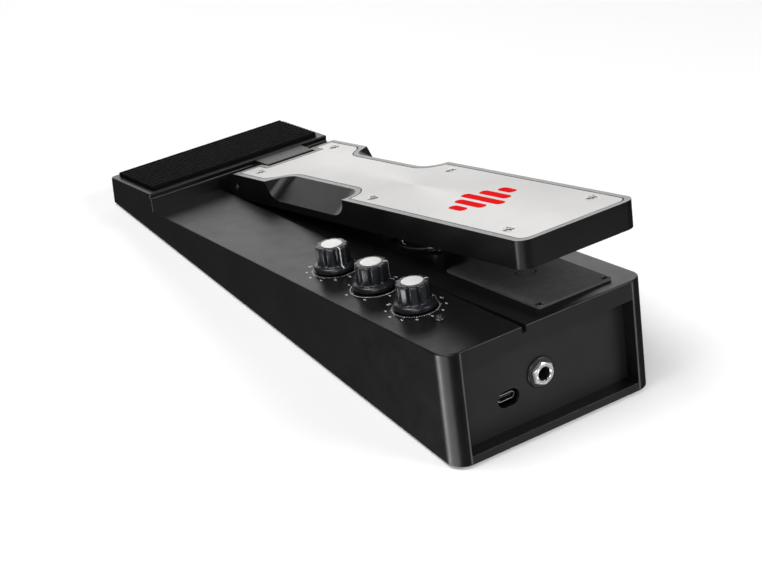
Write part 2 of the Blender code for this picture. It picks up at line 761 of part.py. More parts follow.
def strike_pad():
    slope = math.cos(math.atan(BAY_SLOPE))
    length = (PAD_TOE_X - PAD_HEEL_X) / slope
    r = 0.8 * MM
    outline = arc(length - r, PAD_NEAR + r, r, -90, 0, 3) + arc(length - r, PAD_FAR - r, r, 0, 90, 3)
    outline += arc(r, PAD_FAR - r, r, 90, 180, 3) + arc(r, PAD_NEAR + r, r, 180, 270, 3)
    body = slab(outline, 0.15 * MM, PAD_T)
    body.data.transform(pad_place())
    button = sloped_place(BUTTON_X, BUTTON_Y, bay_z(BUTTON_X), BAY_SLOPE)
    holes = [cylinder(BUTTON_R + GAP, -9 * MM, 9 * MM, button)]
    holes += [cylinder(1.1 * MM, -9 * MM, 9 * MM, place, steps=12) for place in pad_screw_places()]
    body = cut(body, holes)
    return node("strike_pad", smooth(body), PAD_RUBBER)


def pad_screws():
    for i, place in enumerate(pad_screw_places(), 1):
        lifted = place @ Matrix.Translation((0, 0, 0.1 * MM))
        node(f"pad_screw_{i}", cross_head_screw(lifted, 1.7 * MM, 0.8 * MM, 4.4 * MM, 0.6 * MM), BLACK_ZINC)


def trigger():
    """The button in the pad, and the force sensor that it rests on below the bay floor."""
    place = sloped_place(BUTTON_X, BUTTON_Y, bay_z(BUTTON_X), BAY_SLOPE)
    profile = [(0, PAD_T), (BUTTON_R - 0.3 * MM, PAD_T), (BUTTON_R, PAD_T - 0.3 * MM), (BUTTON_R, -3.2 * MM)]
    profile += [(BUTTON_R + 1.6 * MM, -3.2 * MM), (BUTTON_R + 1.6 * MM, -4.4 * MM), (0, -4.4 * MM)]
    node("trigger_button", smooth(turned(profile, place, steps=24)), RUBBER)
    profile = [(0, -4.7), (7.5, -4.7), (8, -5.2), (8, -7.6), (0, -7.6)]
    node("force_sensor", smooth(turned([(r * MM, z * MM) for r, z in profile], place, steps=24)), SENSOR)


# ---------------------------------------------------------------- controls

def knob_body():
    """Ten broad lobes over a flared skirt, hollow below for the nut, with a blind hole for the shaft."""
    h = KNOB_H
    profile = [(0, h), (6.9 * MM, h), (7.5 * MM, h - 0.7 * MM), (7.5 * MM, 4 * MM), (9.2 * MM, 2.4 * MM)]
    profile += [(9.4 * MM, 0), (6.6 * MM, 0), (6.6 * MM, 2.2 * MM), (3.3 * MM, 2.2 * MM)]
    profile += [(3.3 * MM, 8.6 * MM), (0, 8.6 * MM)]
    body = turned(profile, steps=40)
    for vert in body.data.vertices:
        grip = vert.co.z > 3.6 * MM and vert.co.xy.length > 6.5 * MM
        if grip:
            wave = math.cos(10 * math.atan2(vert.co.y, vert.co.x))
            vert.co.xy *= 1 - LOBE_DEPTH * (1 - wave)
    return body


def knob(i, x):
    place = sloped_place(x, KNOB_Y, deck_z(x), DECK_SLOPE)
    spindle = empty(f"knob_axis_{i}", place)
    body = knob_body()
    body.data.transform(Matrix.Translation((0, 0, KNOB_LIFT)))
    node(f"knob_{i}", smooth(body, 28), BLACK_PLASTIC, spindle)
    top = KNOB_LIFT + KNOB_H
    profile = [(0, 0.4), (4.6, 0.4), (4.8, 0.25), (4.8, 0.1), (0, 0.1)]
    cap = turned([(r * MM, top + z * MM) for r, z in profile], steps=24)
    node(f"knob_cap_{i}", smooth(cap), BRUSHED, spindle)
    shaft = cylinder(3 * MM, 0.6 * MM, 8.2 * MM + KNOB_LIFT, steps=20)
    flat = box((1.6 * MM, -9 * MM, 4 * MM), (9 * MM, 9 * MM, 20 * MM))
    node(f"pot_shaft_{i}", smooth(cut(shaft, [flat])), ZINC, spindle)


def pot(i, x):
    """A potentiometer under the deck: its can and threaded bush in one, and its nut above the deck."""
    place = sloped_place(x, KNOB_Y, deck_z(x), DECK_SLOPE)
    under = -WALL - 0.6 * MM
    profile = [(0, 0.3 * MM), (3.5 * MM, 0.3 * MM), (3.5 * MM, under), (8 * MM, under)]
    profile += [(8.3 * MM, under - 0.4 * MM), (8.3 * MM, under - 7 * MM), (0, under - 7 * MM)]
    node(f"pot_{i}", smooth(turned(profile, place, steps=24)), CAN_STEEL)
    ring = cylinder(5.4 * MM, 0.15 * MM, 1.9 * MM, steps=6)
    hole = cylinder(3.8 * MM, -MM, 9 * MM, steps=20)
    nut = cut(ring, [hole])
    nut.data.transform(place)
    node(f"pot_nut_{i}", smooth(nut), CHROME)


def led():
    place = sloped_place(LED_X, LED_Y, deck_z(LED_X), DECK_SLOPE)
    barrel = LED_R / MM
    inside = barrel - 0.4
    bezel = [(inside, 0.9), (inside + 0.3, 1.0), (2.2, 0.7), (2.5, 0.15), (barrel, 0.15), (barrel, -4.2)]
    bezel += [(inside, -4.2), (inside, 0.9)]
    node("led_bezel", smooth(turned([(r * MM, z * MM) for r, z in bezel], place, steps=24)), CHROME)
    dome_r = inside - 0.2
    dome = [(0, 2.0)] + [(dome_r * math.sin(a), 0.6 + 1.4 * math.cos(a)) for a in (0.4, 0.8, 1.2, math.pi / 2)]
    dome += [(dome_r, -6.6), (0, -6.6)]
    node("led_lens", smooth(turned([(r * MM, z * MM) for r, z in dome], place, steps=20)), LED_CLEAR)


# ---------------------------------------------------------------- toe panel and electronics

def output_jack():
    place = panel_place(JACK_Y, JACK_UP)
    tube = cylinder(JACK_THREAD_R, -4 * MM, 3 * MM)
    block = box((-8 * MM, -8 * MM, -26 * MM), (8 * MM, 8 * MM, -PANEL_WALL - 0.4 * MM))
    hollow = cylinder(3.2 * MM, -22 * MM, 9 * MM, steps=20)
    body = cut(join(block, [tube]), [hollow])
    body.data.transform(place)
    node("output_jack", smooth(body), BLACK_PLASTIC)
    hole = JACK_THREAD_R / MM + 0.3
    ring = [(hole, 1), (6.6, 1), (7, 0.6), (7, 0.15), (hole, 0.15), (hole, 1)]
    washer = turned([(r * MM, z * MM) for r, z in ring], place, steps=28)
    node("jack_washer", smooth(washer), WASHER)
    corner = JACK_NUT_R / MM
    nut = cylinder(JACK_NUT_R, 1.2 * MM, 3 * MM, Matrix.Rotation(math.radians(30), 4, "Z"), steps=6)
    chamfer = [(0, 3), (corner - 1, 3), (corner + 0.2, 2.4), (corner + 0.2, 1.2), (0, 1.2)]
    trim = turned([(r * MM, z * MM) for r, z in chamfer], steps=24)
    nut = combine(nut, [trim], "INTERSECT")
    nut = cut(nut, [cylinder(hole * MM, -MM, 9 * MM)])
    nut.data.transform(place)
    node("jack_nut", smooth(nut), CHROME)


def usb_socket():
    """The shell of a USB-C receptacle with its contact tongue, just behind the panel."""
    place = panel_place(USB_Y, USB_UP)
    shell = slab(stadium(8.9 * MM, 3.2 * MM, 5), -USB_BACK - 8.4 * MM, -USB_BACK)
    mouth = slab(stadium(8.3 * MM, 2.6 * MM, 5), -USB_BACK - 5.9 * MM, 5 * MM)
    body = cut(shell, [mouth])
    tongue = box((-3.3 * MM, -0.35 * MM, -USB_BACK - 6.4 * MM), (3.3 * MM, 0.35 * MM, -USB_BACK - MM))
    body = join(body, [tongue])
    body.data.transform(place)
    node("usb_socket", smooth(body), CAN_STEEL)


def circuit_boards():
    """The control board hangs under the knob deck; the main board lies flat beside it."""
    place = sloped_place(0, 0, deck_z(0), DECK_SLOPE)
    top = -WALL - 8.1 * MM
    control = box((8 * MM, -HALF_W + 5 * MM, top - 1.6 * MM), (118 * MM, LIP_Y - 5 * MM, top))
    control.data.transform(place)
    node("control_board", control, PCB)
    main = box((-20 * MM, -6 * MM, FOOT_RISE + 5 * MM), (105 * MM, 44 * MM, FOOT_RISE + 6.6 * MM))
    node("main_board", main, PCB)
    chip = box((-9 * MM, 9 * MM, FOOT_RISE + 6.8 * MM), (9 * MM, 27 * MM, FOOT_RISE + 8.4 * MM))
    node("processor", chip, BLACK_PLASTIC)


# ---------------------------------------------------------------- build

clear_scene()
PEDAL = new_collection("effects_pedal")
WORKSHOP = new_collection("cutters")
WORKSHOP.hide_render = True

BLACK_PAINT = material("black_paint", (0.022, 0.022, 0.023), 0.42)
DARK_STEEL = material("dark_steel", (0.05, 0.05, 0.052), 0.5, 0.3)
BRUSHED = material("brushed_plate", (0.72, 0.71, 0.7), 0.34, 0.85)
ZINC = material("zinc_screw", (0.62, 0.61, 0.6), 0.3, 1.0)
BLACK_ZINC = material("black_screw", (0.06, 0.06, 0.062), 0.35, 0.8)
SPRING_STEEL = material("spring_steel", (0.45, 0.45, 0.46), 0.28, 1.0)
CHROME = material("chrome", (0.8, 0.8, 0.8), 0.12, 1.0)
BRONZE = material("bronze_bush", (0.55, 0.4, 0.2), 0.35, 1.0)
CAN_STEEL = material("can_steel", (0.6, 0.6, 0.6), 0.35, 1.0)
RUBBER = material("rubber", (0.018, 0.018, 0.018), 0.75)
PAD_RUBBER = material("pad_rubber", (0.045, 0.043, 0.043), 0.85)
NYLON = material("black_nylon", (0.02, 0.02, 0.02), 0.4)
WASHER = material("washer", (0.03, 0.03, 0.032), 0.3)
BLACK_PLASTIC = material("black_plastic", (0.015, 0.016, 0.018), 0.2)
LED_CLEAR = material("led_clear", (0.85, 0.86, 0.88), 0.08)
SENSOR = material("sensor", (0.3, 0.24, 0.1), 0.5)
PCB = material("circuit_board", (0.02, 0.12, 0.05), 0.45)

HINGE_PLACE = Matrix.Translation((HINGE_X, 0, FOOT_RISE + HINGE_H))
BOARD = empty("footboard_hinge", HINGE_PLACE @ Matrix.Rotation(-TILT, 4, "Y"))

base_housing()
base_plate()
base_screws()
rubber_feet()
heel_mat()
footboard_body()
footboard_plate()
plate_screws()
hinge_pin()
hinge_bushes()
spring_seat()
return_spring()
striker()
strike_pad()
pad_screws()
trigger()
for number, knob_x in enumerate(KNOB_X, 1):
    knob(number, knob_x)
    pot(number, knob_x)
led()
output_jack()
usb_socket()
circuit_boards()
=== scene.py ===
"""Looks of the guitar effects pedal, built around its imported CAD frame.  Lengths are in metres."""
import math

import bmesh
import bpy
from mathutils import Matrix, Vector


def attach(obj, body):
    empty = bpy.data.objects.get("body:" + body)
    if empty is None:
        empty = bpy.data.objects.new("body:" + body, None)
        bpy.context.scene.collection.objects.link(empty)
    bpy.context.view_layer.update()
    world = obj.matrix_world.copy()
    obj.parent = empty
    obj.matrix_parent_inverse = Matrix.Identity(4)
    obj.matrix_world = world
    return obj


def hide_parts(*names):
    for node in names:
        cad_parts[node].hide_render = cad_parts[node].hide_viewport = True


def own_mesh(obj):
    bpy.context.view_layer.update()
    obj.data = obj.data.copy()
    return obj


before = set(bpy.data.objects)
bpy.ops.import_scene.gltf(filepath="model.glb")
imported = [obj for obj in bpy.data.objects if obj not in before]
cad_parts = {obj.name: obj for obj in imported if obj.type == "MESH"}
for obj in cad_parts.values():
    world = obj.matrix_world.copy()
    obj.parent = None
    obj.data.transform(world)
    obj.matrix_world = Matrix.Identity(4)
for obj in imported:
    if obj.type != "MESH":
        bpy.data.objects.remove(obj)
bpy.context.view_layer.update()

MM = 0.001

# ---------------------------------------------------------------- dimensions shared with the CAD

FOOT_RISE = 1.6 * MM
HALF_L = 150 * MM
HALF_W = 52.2 * MM
HEEL_BACK_H = 13.6 * MM
HEEL_FRONT_H = 21.5 * MM
HEEL_PLATE_L = 44 * MM
STEP_X = -106 * MM
DECK_X0 = -104 * MM
TOE_H = 50.8 * MM
TOE_LEAN = 7.1 * MM
DECK_HEEL_H = 12.6 * MM
BAY_HEEL_H = 6.4 * MM
LIP_Y = -13.7 * MM
BAY_Y = -11.4 * MM
GROOVE_DEPTH = 3 * MM
RECESS_MARGIN = 7.9 * MM
RECESS_LOW = 3.6 * MM
RECESS_HIGH = 42.7 * MM
RECESS_DEPTH = 7.5 * MM
PANEL_WALL = 2.5 * MM
JACK = (-1.2 * MM, 23.6 * MM)        # across and up the toe panel
USB = (-18.4 * MM, 17.8 * MM)
USB_BACK = 2 * MM
JACK_THREAD_R = 3.9                  # millimetres, as the turned profiles are
JACK_NUT_R = 5.4
HINGE_X = -96.2 * MM
HINGE_H = 15.6 * MM
TILT = math.radians(15.1)
HALF_T = 6.3 * MM
BOARD_NEAR = -8.3 * MM
BOARD_FAR = 52.2 * MM
BOARD_TOE = 242.5 * MM
LUG_END = -6.8 * MM
LUG_R = 6 * MM
KNUCKLE_NEAR = 8.9 * MM
KNUCKLE_FAR = 36.2 * MM
NOTCH_END = 6.6 * MM
WAIST_HEEL = 31 * MM
WAIST_TOE = 103.8 * MM
WAIST_NEAR = 4.4 * MM
WAIST_FAR = 41.5 * MM
WAIST_HEEL_R = 10 * MM
WAIST_TOE_R = 11 * MM
SCOOP_DROP = 8.8 * MM
SCOOP_SLANT = 0.42
PLATE_T = 1.4 * MM
PLATE_INSET = 3.1 * MM
PLATE_GAP = 0.5 * MM
PLATE_HEEL = 1.7 * MM
POCKET_DEPTH = 7.4 * MM
SPRING = (33 * MM, 21.2 * MM)
SEAT_R = 19.8 * MM
SEAT_SINK = 1.6 * MM
SPRING_R = 15 * MM
WIRE_R = 1.1 * MM
SPRING_TURNS = 4.5
STRIKER_ALONG = 200 * MM
MARK_ALONG = 174 * MM
PAD_HEEL_X = 70.6 * MM
PAD_TOE_X = 135.6 * MM
PAD_NEAR = 1 * MM
PAD_FAR = 40 * MM
PAD_T = 1.4 * MM
PAD_SCREW_INSET = 1.9 * MM
BUTTON = (101.5 * MM, 21 * MM)
BUTTON_R = 4.2 * MM
KNOB_X = (30.8 * MM, 62.1 * MM, 93.4 * MM)
KNOB_Y = -31.2 * MM
KNOB_H = 11.2 * MM
KNOB_LIFT = 0.8 * MM
POINTERS = (-4, 51, 75)              # degrees from the toe direction, seen from above
LED = (110.6 * MM, -31.5 * MM)
LED_R = 2.1
TOE_CORNER_R = 8 * MM
HEEL_CORNER_R = 2.6 * MM
TOP_EDGE_R = 2.8 * MM
LIP_R = 0.7 * MM
MOUTH_R = 0.35 * MM
BOARD_CORNER_R = 6 * MM
PLATE_CORNER_R = 4.4 * MM
ROOF_WALL = 3 * MM
SIDE_WALL = 3.8 * MM
CAVITY_HEEL_X = -58 * MM
POCKET_W = 50.5 * MM
POT_HOLE_R = 3.8 * MM
BUSH_HOLE_R = 3.7 * MM
PLATE_HEAD = (2.7 * MM, 0.6 * MM)    # each screw head's radius and height
PAD_HEAD = (1.7 * MM, 0.6 * MM)
BASE_HEAD = (2.9 * MM, 1.1 * MM)
SCREW_TURN = 37                      # degrees from one head's cross to the next
BOARD_MID = (BOARD_NEAR + BOARD_FAR) / 2

TOE_TOP_X = HALF_L - TOE_LEAN
DECK_SLOPE = (TOE_H - DECK_HEEL_H) / (TOE_TOP_X - DECK_X0)
BAY_SLOPE = (TOE_H - BAY_HEEL_H) / (TOE_TOP_X - DECK_X0)
TOE_ANGLE = math.atan2(TOE_LEAN, TOE_H)

BASE = "base"
BOARD = "footboard"


# ---------------------------------------------------------------- places

def toe_x(height):
    return HALF_L - TOE_LEAN * height / TOE_H


def deck_z(x):
    return FOOT_RISE + DECK_HEEL_H + DECK_SLOPE * (x - DECK_X0)


def bay_z(x):
    return FOOT_RISE + BAY_HEEL_H + BAY_SLOPE * (x - DECK_X0)


def heel_z(x):
    return FOOT_RISE + HEEL_BACK_H + (HEEL_FRONT_H - HEEL_BACK_H) * (x + HALF_L) / HEEL_PLATE_L


def sloped_place(x, y, z, slope):
    return Matrix.Translation((x, y, z)) @ Matrix.Rotation(-math.atan(slope), 4, "Y")


def deck_place(x, y):
    return sloped_place(x, y, deck_z(x), DECK_SLOPE)


def bay_place(x, y):
    return sloped_place(x, y, bay_z(x), BAY_SLOPE)


def panel_place(y, up):
    """A frame on the floor of the toe recess: z points out of the panel, y up it."""
    along = Vector((-math.sin(TOE_ANGLE), 0, math.cos(TOE_ANGLE)))
    out = Vector((math.cos(TOE_ANGLE), 0, math.sin(TOE_ANGLE)))
    origin = Vector((HALF_L, y, FOOT_RISE)) + along * up - out * RECESS_DEPTH
    side = along.cross(out)
    columns = (side, along, out, origin)
    return Matrix([[c[i] for c in columns] for i in range(3)] + [[0, 0, 0, 1]])


HINGE = Matrix.Translation((HINGE_X, 0, FOOT_RISE + HINGE_H))
BOARD_PLACE = HINGE @ Matrix.Rotation(-TILT, 4, "Y")
PIN_PLACE = HINGE @ Matrix.Rotation(math.radians(-90), 4, "X")


# ---------------------------------------------------------------- materials

class Look:
    """A procedural material: its nodes are added by kind, with inputs given by name."""

    def __init__(self, name):
        self.mat = bpy.data.materials.new(name)
        self.mat.use_nodes = True
        self.tree = self.mat.node_tree
        self.shader = self.tree.nodes["Principled BSDF"]
        self.place = self.add("ShaderNodeTexCoord").outputs["Object"]

    def put(self, socket, value):
        """Links the socket to another one, or gives it a plain value."""
        if isinstance(value, bpy.types.NodeSocket):
            self.tree.links.new(value, socket)
        else:
            socket.default_value = value

    def feed(self, node, inputs):
        for name, value in inputs.items():
            self.put(node.inputs[name], value)

    def add(self, kind, settings=(), **inputs):
        node = self.tree.nodes.new(kind)
        for key, value in dict(settings).items():
            setattr(node, key, value)
        self.feed(node, {k.replace("_", " "): v for k, v in inputs.items()})
        return node

    def noise(self, scale, detail=3.0, stretch=None, rough=0.55):
        """Noise of the given scale per metre, as a value from 0 to 1."""
        where = self.place
        if stretch is not None:
            where = self.add("ShaderNodeMapping", Vector=where, Scale=stretch).outputs["Vector"]
        node = self.add("ShaderNodeTexNoise", Vector=where, Scale=scale, Detail=detail, Roughness=rough)
        return node.outputs["Fac"]

    def ramp(self, value, low, high, start=0.3, end=0.7):
        """The value from start to end spread over low to high."""
        node = self.add("ShaderNodeMapRange", Value=value)
        self.feed(node, {"From Min": start, "From Max": end, "To Min": low, "To Max": high})
        return node.outputs["Result"]

    def mix(self, factor, a, b):
        # A Mix node has several sockets of each name, so the colour ones are taken by number.
        node = self.add("ShaderNodeMix", {"data_type": "RGBA"})
        self.put(node.inputs[0], factor)
        self.put(node.inputs[6], (*a, 1))
        self.put(node.inputs[7], (*b, 1))
        return node.outputs[2]

    def bump(self, height, strength, distance, below=None):
        node = self.add("ShaderNodeBump", Height=height, Strength=strength, Distance=distance)
        if below is not None:
            self.feed(node, {"Normal": below})
        return node.outputs["Normal"]

    def finish(self, **inputs):
        self.feed(self.shader, {k.replace("_", " "): v for k, v in inputs.items()})
        return self.mat


def coated_metal(name, dark, light, rough_low, rough_high, grain=0.25, gloss=0.35):
    """Satin black coating over a casting, with fine orange peel and faint handling marks."""
    look = Look(name)
    colour = look.mix(look.ramp(look.noise(60), 0, 1), dark, light)
    rough = look.ramp(look.noise(140, 5), rough_low, rough_high)
    peel = look.bump(look.noise(1500, 2), grain, 0.00003)
    fine = look.bump(look.noise(5200, 2), grain, 0.000012, peel)
    return look.finish(Base_Color=colour, Roughness=rough, Normal=fine, Specular_IOR_Level=gloss)


def metal(name, dark, light, rough_low, rough_high, scale=900, stretch=None, marks=0.12, depth=0.00001,
          bare=1.0):
    """Bare or plated metal with machining grain."""
    look = Look(name)
    grain = look.noise(scale, 4, stretch)
    colour = look.mix(look.ramp(look.noise(180), 0, 1), dark, light)
    rough = look.ramp(grain, rough_low, rough_high)
    normal = look.bump(grain, marks, depth)
    return look.finish(Base_Color=colour, Metallic=bare, Roughness=rough, Normal=normal)


def plastic(name, dark, light, rough_low, rough_high, grain=0.08, scale=2600, gloss=0.5):
    """Plastic, rubber or printing ink with a fine moulded grain."""
    look = Look(name)
    colour = look.mix(look.ramp(look.noise(220), 0, 1), dark, light)
    rough = look.ramp(look.noise(400, 4), rough_low, rough_high)
    normal = look.bump(look.noise(scale, 3), grain, 0.00002)
    return look.finish(Base_Color=colour, Roughness=rough, Normal=normal, Specular_IOR_Level=gloss)


def brushed_aluminium():
    """The footboard's plate: fine lines along the board, bright and satin."""
    look = Look("brushed_aluminium")
    lines = look.noise(1, 6, (90, 5200, 5200), 0.7)
    cloud = look.noise(26, 3)
    colour = look.mix(look.ramp(cloud, 0, 1), (0.53, 0.52, 0.513), (0.575, 0.566, 0.558))
    rough = look.ramp(lines, 0.30, 0.44)
    normal = look.bump(lines, 0.10, 0.000012)
    return look.finish(Base_Color=colour, Metallic=0.75, Roughness=rough, Normal=normal, Anisotropic=0.4)


def spun_cap():
    """The knobs' caps: pale metal with a fine grain."""
    look = Look("spun_cap")
    grain = look.noise(3800, 4)
    colour = look.mix(look.ramp(look.noise(420), 0, 1), (0.74, 0.735, 0.73), (0.81, 0.805, 0.80))
    return look.finish(Base_Color=colour, Metallic=0.35, Roughness=look.ramp(grain, 0.32, 0.5),
                       Normal=look.bump(grain, 0.12, 0.00001))


def lens():
    """The unlit indicator's dark, glossy dome."""
    look = Look("led_lens")
    rough = look.ramp(look.noise(900), 0.05, 0.12)
    smoke = (0.035, 0.036, 0.04, 1)
    return look.finish(Base_Color=smoke, Roughness=rough, IOR=1.5, Transmission_Weight=0.3)


def circuit_board():
    """Green solder mask over a pattern of copper cells."""
    look = Look("circuit_board")
    cells = look.add("ShaderNodeTexBrick", Vector=look.place, Scale=160.0)
    look.feed(cells, {"Color1": (0.01, 0.10, 0.04, 1), "Color2": (0.015, 0.13, 0.05, 1),
                      "Mortar": (0.03, 0.2, 0.08, 1), "Mortar Size": 0.03})
    normal = look.bump(look.noise(2400), 0.1, 0.00002)
    return look.finish(Base_Color=cells.outputs["Color"], Roughness=0.4, Normal=normal)


COAT_TONES = ((0.004, 0.004, 0.0041), (0.006, 0.006, 0.0061))
RUBBER_TONES = ((0.0035, 0.0035, 0.0036), (0.0055, 0.0055, 0.0056))
COAT = coated_metal("satin_black_coat", *COAT_TONES, 0.30, 0.36)
BOARD_COAT = coated_metal("board_coat", *COAT_TONES, 0.30, 0.36, gloss=0.2)
PLATE_PAINT = coated_metal("painted_sheet", (0.02, 0.02, 0.021), (0.03, 0.03, 0.031), 0.5, 0.65, 0.4)
# The recess panel's coat is rougher than the casting's, and lighter as a painted reflection of the bright
# floor near it.
PANEL_REFLECTION_COAT = coated_metal("panel_coat_painted_reflection", (0.010, 0.010, 0.0102), (0.013, 0.013, 0.0132), 0.42, 0.5)
# Painted highlight: a lighter coat that puts a bright line along the recess mouth's rounded edge.
MOUTH_HIGHLIGHT_COAT = coated_metal("painted_edge_highlight", (0.05, 0.05, 0.051), (0.075, 0.075, 0.076), 0.3, 0.4)
ALUMINIUM = brushed_aluminium()
RIM = metal("machined_rim", (0.2, 0.198, 0.195), (0.25, 0.248, 0.245), 0.3, 0.42, 1, (400, 3000, 3000))
CAP = spun_cap()
CHROME = metal("chrome", (0.8, 0.8, 0.81), (0.88, 0.88, 0.89), 0.17, 0.25, 1600)
NICKEL = metal("bright_nickel", (0.78, 0.78, 0.78), (0.86, 0.86, 0.86), 0.2, 0.3, 1600, bare=0.55)
ZINC = metal("zinc_plate", (0.5, 0.5, 0.49), (0.64, 0.63, 0.62), 0.22, 0.36, 1900)
BLACK_ZINC = metal("black_zinc", (0.06, 0.06, 0.062), (0.1, 0.1, 0.1), 0.28, 0.42, 1900)
SPRING_WIRE = metal("spring_wire", (0.4, 0.4, 0.41), (0.5, 0.5, 0.51), 0.26, 0.36, 700)
BRONZE = metal("sintered_bronze", (0.42, 0.28, 0.13), (0.55, 0.4, 0.2), 0.35, 0.5, 2600, None, 0.3, 0.00003)
CONTACT = metal("contact_metal", (0.58, 0.46, 0.26), (0.72, 0.6, 0.36), 0.18, 0.3)
SHELL = metal("socket_shell", (0.5, 0.5, 0.51), (0.68, 0.68, 0.69), 0.2, 0.32)
RUBBER = plastic("moulded_rubber", *RUBBER_TONES, 0.6, 0.75, grain=0.3, gloss=0.03)
PAD = plastic("pad_rubber", (0.072, 0.068, 0.067), (0.094, 0.089, 0.088), 0.7, 0.86, grain=0.7, scale=1900)
NYLON = plastic("black_nylon", (0.013, 0.013, 0.0135), (0.018, 0.018, 0.0185), 0.36, 0.46)
WASHER = plastic("black_washer", (0.014, 0.014, 0.0145), (0.02, 0.02, 0.0205), 0.26, 0.36)
GLOSS = plastic("gloss_black", (0.011, 0.012, 0.015), (0.015, 0.016, 0.02), 0.25, 0.31, grain=0.05)
PRINT = plastic("white_print", (0.62, 0.62, 0.61), (0.75, 0.75, 0.74), 0.5, 0.65)
RED = plastic("red_print", (0.70, 0.011, 0.013), (0.78, 0.016, 0.018), 0.5, 0.6, gloss=0)
FILM = plastic("sensor_film", (0.24, 0.18, 0.07), (0.34, 0.26, 0.11), 0.4, 0.55)
LENS = lens()
BOARD_GREEN = circuit_board()


# ---------------------------------------------------------------- mesh tools

def new_piece(bm, name="piece"):
    mesh = bpy.data.meshes.new(name)
    bm.to_mesh(mesh)
    bm.free()
    obj = bpy.data.objects.new(name, mesh)
    bpy.context.scene.collection.objects.link(obj)
    return obj


def edit(obj, change):
    """Runs change on the object's mesh as a bmesh."""
    bm = bmesh.new()
    bm.from_mesh(obj.data)
    change(bm)
    bm.to_mesh(obj.data)
    bm.free()
    return obj


def baked(obj):
    """The object with its modifiers applied."""
    bpy.context.view_layer.update()
    depsgraph = bpy.context.evaluated_depsgraph_get()
    mesh = bpy.data.meshes.new_from_object(obj.evaluated_get(depsgraph))
    plain = bpy.data.objects.new(obj.name, mesh)
    bpy.context.scene.collection.objects.link(plain)
    bpy.data.objects.remove(obj, do_unlink=True)
    return edit(plain, clean)


def clean(bm):
    bmesh.ops.remove_doubles(bm, verts=bm.verts, dist=1e-6)
    bmesh.ops.dissolve_degenerate(bm, edges=bm.edges, dist=1e-6)


def combine(target, others, operation):
    for other in others:
        step = target.modifiers.new("Boolean", "BOOLEAN")
        step.operation = operation
        step.solver = "EXACT"
        step.object = other
    target = baked(target)
    for other in others:
        bpy.data.objects.remove(other, do_unlink=True)
    return target


def cut(target, others):
    return combine(target, others, "DIFFERENCE")


def join(target, others):
    return combine(target, others, "UNION")


def slab(points, low, high, axis="Z"):
    """An outline extruded from low to high: along Z, or along Y with the outline in XZ."""
    bm = bmesh.new()
    if axis == "Z":
        ends = [[bm.verts.new((u, v, w)) for u, v in points] for w in (low, high)]
    else:
        ends = [[bm.verts.new((u, w, v)) for u, v in points] for w in (low, high)]
    bm.faces.new(ends[0])
    bm.faces.new(ends[1])
    count = len(points)
    for i in range(count):
        j = (i + 1) % count
        bm.faces.new((ends[0][i], ends[0][j], ends[1][j], ends[1][i]))
    bmesh.ops.recalc_face_normals(bm, faces=bm.faces)
    return new_piece(bm)


def box(low, high):
    (x0, y0, z0), (x1, y1, z1) = low, high
    return slab([(x0, y0), (x1, y0), (x1, y1), (x0, y1)], z0, z1)


def lathe(profile, steps=64, shape=None):
    """A profile of (radius, height), from the top down its outer side, turned about Z.

    shape(angle, radius, height) may give another radius.
    """
    bm = bmesh.new()
    rings = []
    for r, z in profile:
        if r == 0:
            rings.append([bm.verts.new((0, 0, z))])
            continue
        ring = []
        for i in range(steps):
            a = 2 * math.pi * i / steps
            here = r if shape is None else shape(a, r, z)
            ring.append(bm.verts.new((here * math.cos(a), here * math.sin(a), z)))
        rings.append(ring)
    for top, low in zip(rings, rings[1:]):
        for i in range(steps):
            j = (i + 1) % steps
            corners = [top[i % len(top)], low[i % len(low)], low[j % len(low)], top[j % len(top)]]
            face = list(dict.fromkeys(corners))
            if len(face) > 2:
                bm.faces.new(face)
    bmesh.ops.recalc_face_normals(bm, faces=bm.faces)
    return new_piece(bm)


def cylinder(radius, low, high, place=None, steps=48):
    obj = lathe([(0, high), (radius, high), (radius, low), (0, low)], steps)
    return moved(obj, place)


def moved(obj, place):
    if place is not None:
        obj.data.transform(place)
    return obj


def mm(points):
    return [(a * MM, b * MM) for a, b in points]


def arc(cx, cy, radius, start, end, steps):
    turn = [math.radians(start + (end - start) * i / steps) for i in range(steps + 1)]
    return [(cx + radius * math.cos(a), cy + radius * math.sin(a)) for a in turn]


def rounded(width, height, radius, steps=6):
    """A rectangle about the origin with round corners."""
    a, b = width / 2 - radius, height / 2 - radius
    corners = ((a, -b, -90), (a, b, 0), (-a, b, 90), (-a, -b, 180))
    return [p for x, y, turn in corners for p in arc(x, y, radius, turn, turn + 90, steps)]


def bevel_where(obj, test, radius, steps, sharper_than=25):
    """Rounds the sharp edges whose two ends pass the test."""
    def change(bm):
        edges = []
        for edge in bm.edges:
            sharp = len(edge.link_faces) == 2 and edge.calc_face_angle(0) > math.radians(sharper_than)
            if sharp and test(edge.verts[0].co, edge.verts[1].co):
                edges.append(edge)
        bmesh.ops.bevel(bm, geom=edges, offset=radius, offset_type="OFFSET", segments=steps,
                        profile=0.5, affect="EDGES", clamp_overlap=True)
        bmesh.ops.remove_doubles(bm, verts=bm.verts, dist=2e-6)
    return edit(obj, change)


def soften(obj, width, steps=3, angle=40):
    """Rounds every edge sharper than the angle."""
    step = obj.modifiers.new("Bevel", "BEVEL")
    step.width = width
    step.segments = steps
    step.limit_method = "ANGLE"
    step.angle_limit = math.radians(angle)
    return baked(obj)


def paint_where(obj, mat, test):
    """Gives another material to the faces whose centres pass the test."""
    obj.data.materials.append(mat)
    index = len(obj.data.materials) - 1
    for face in obj.data.polygons:
        if test(face.center):
            face.material_index = index


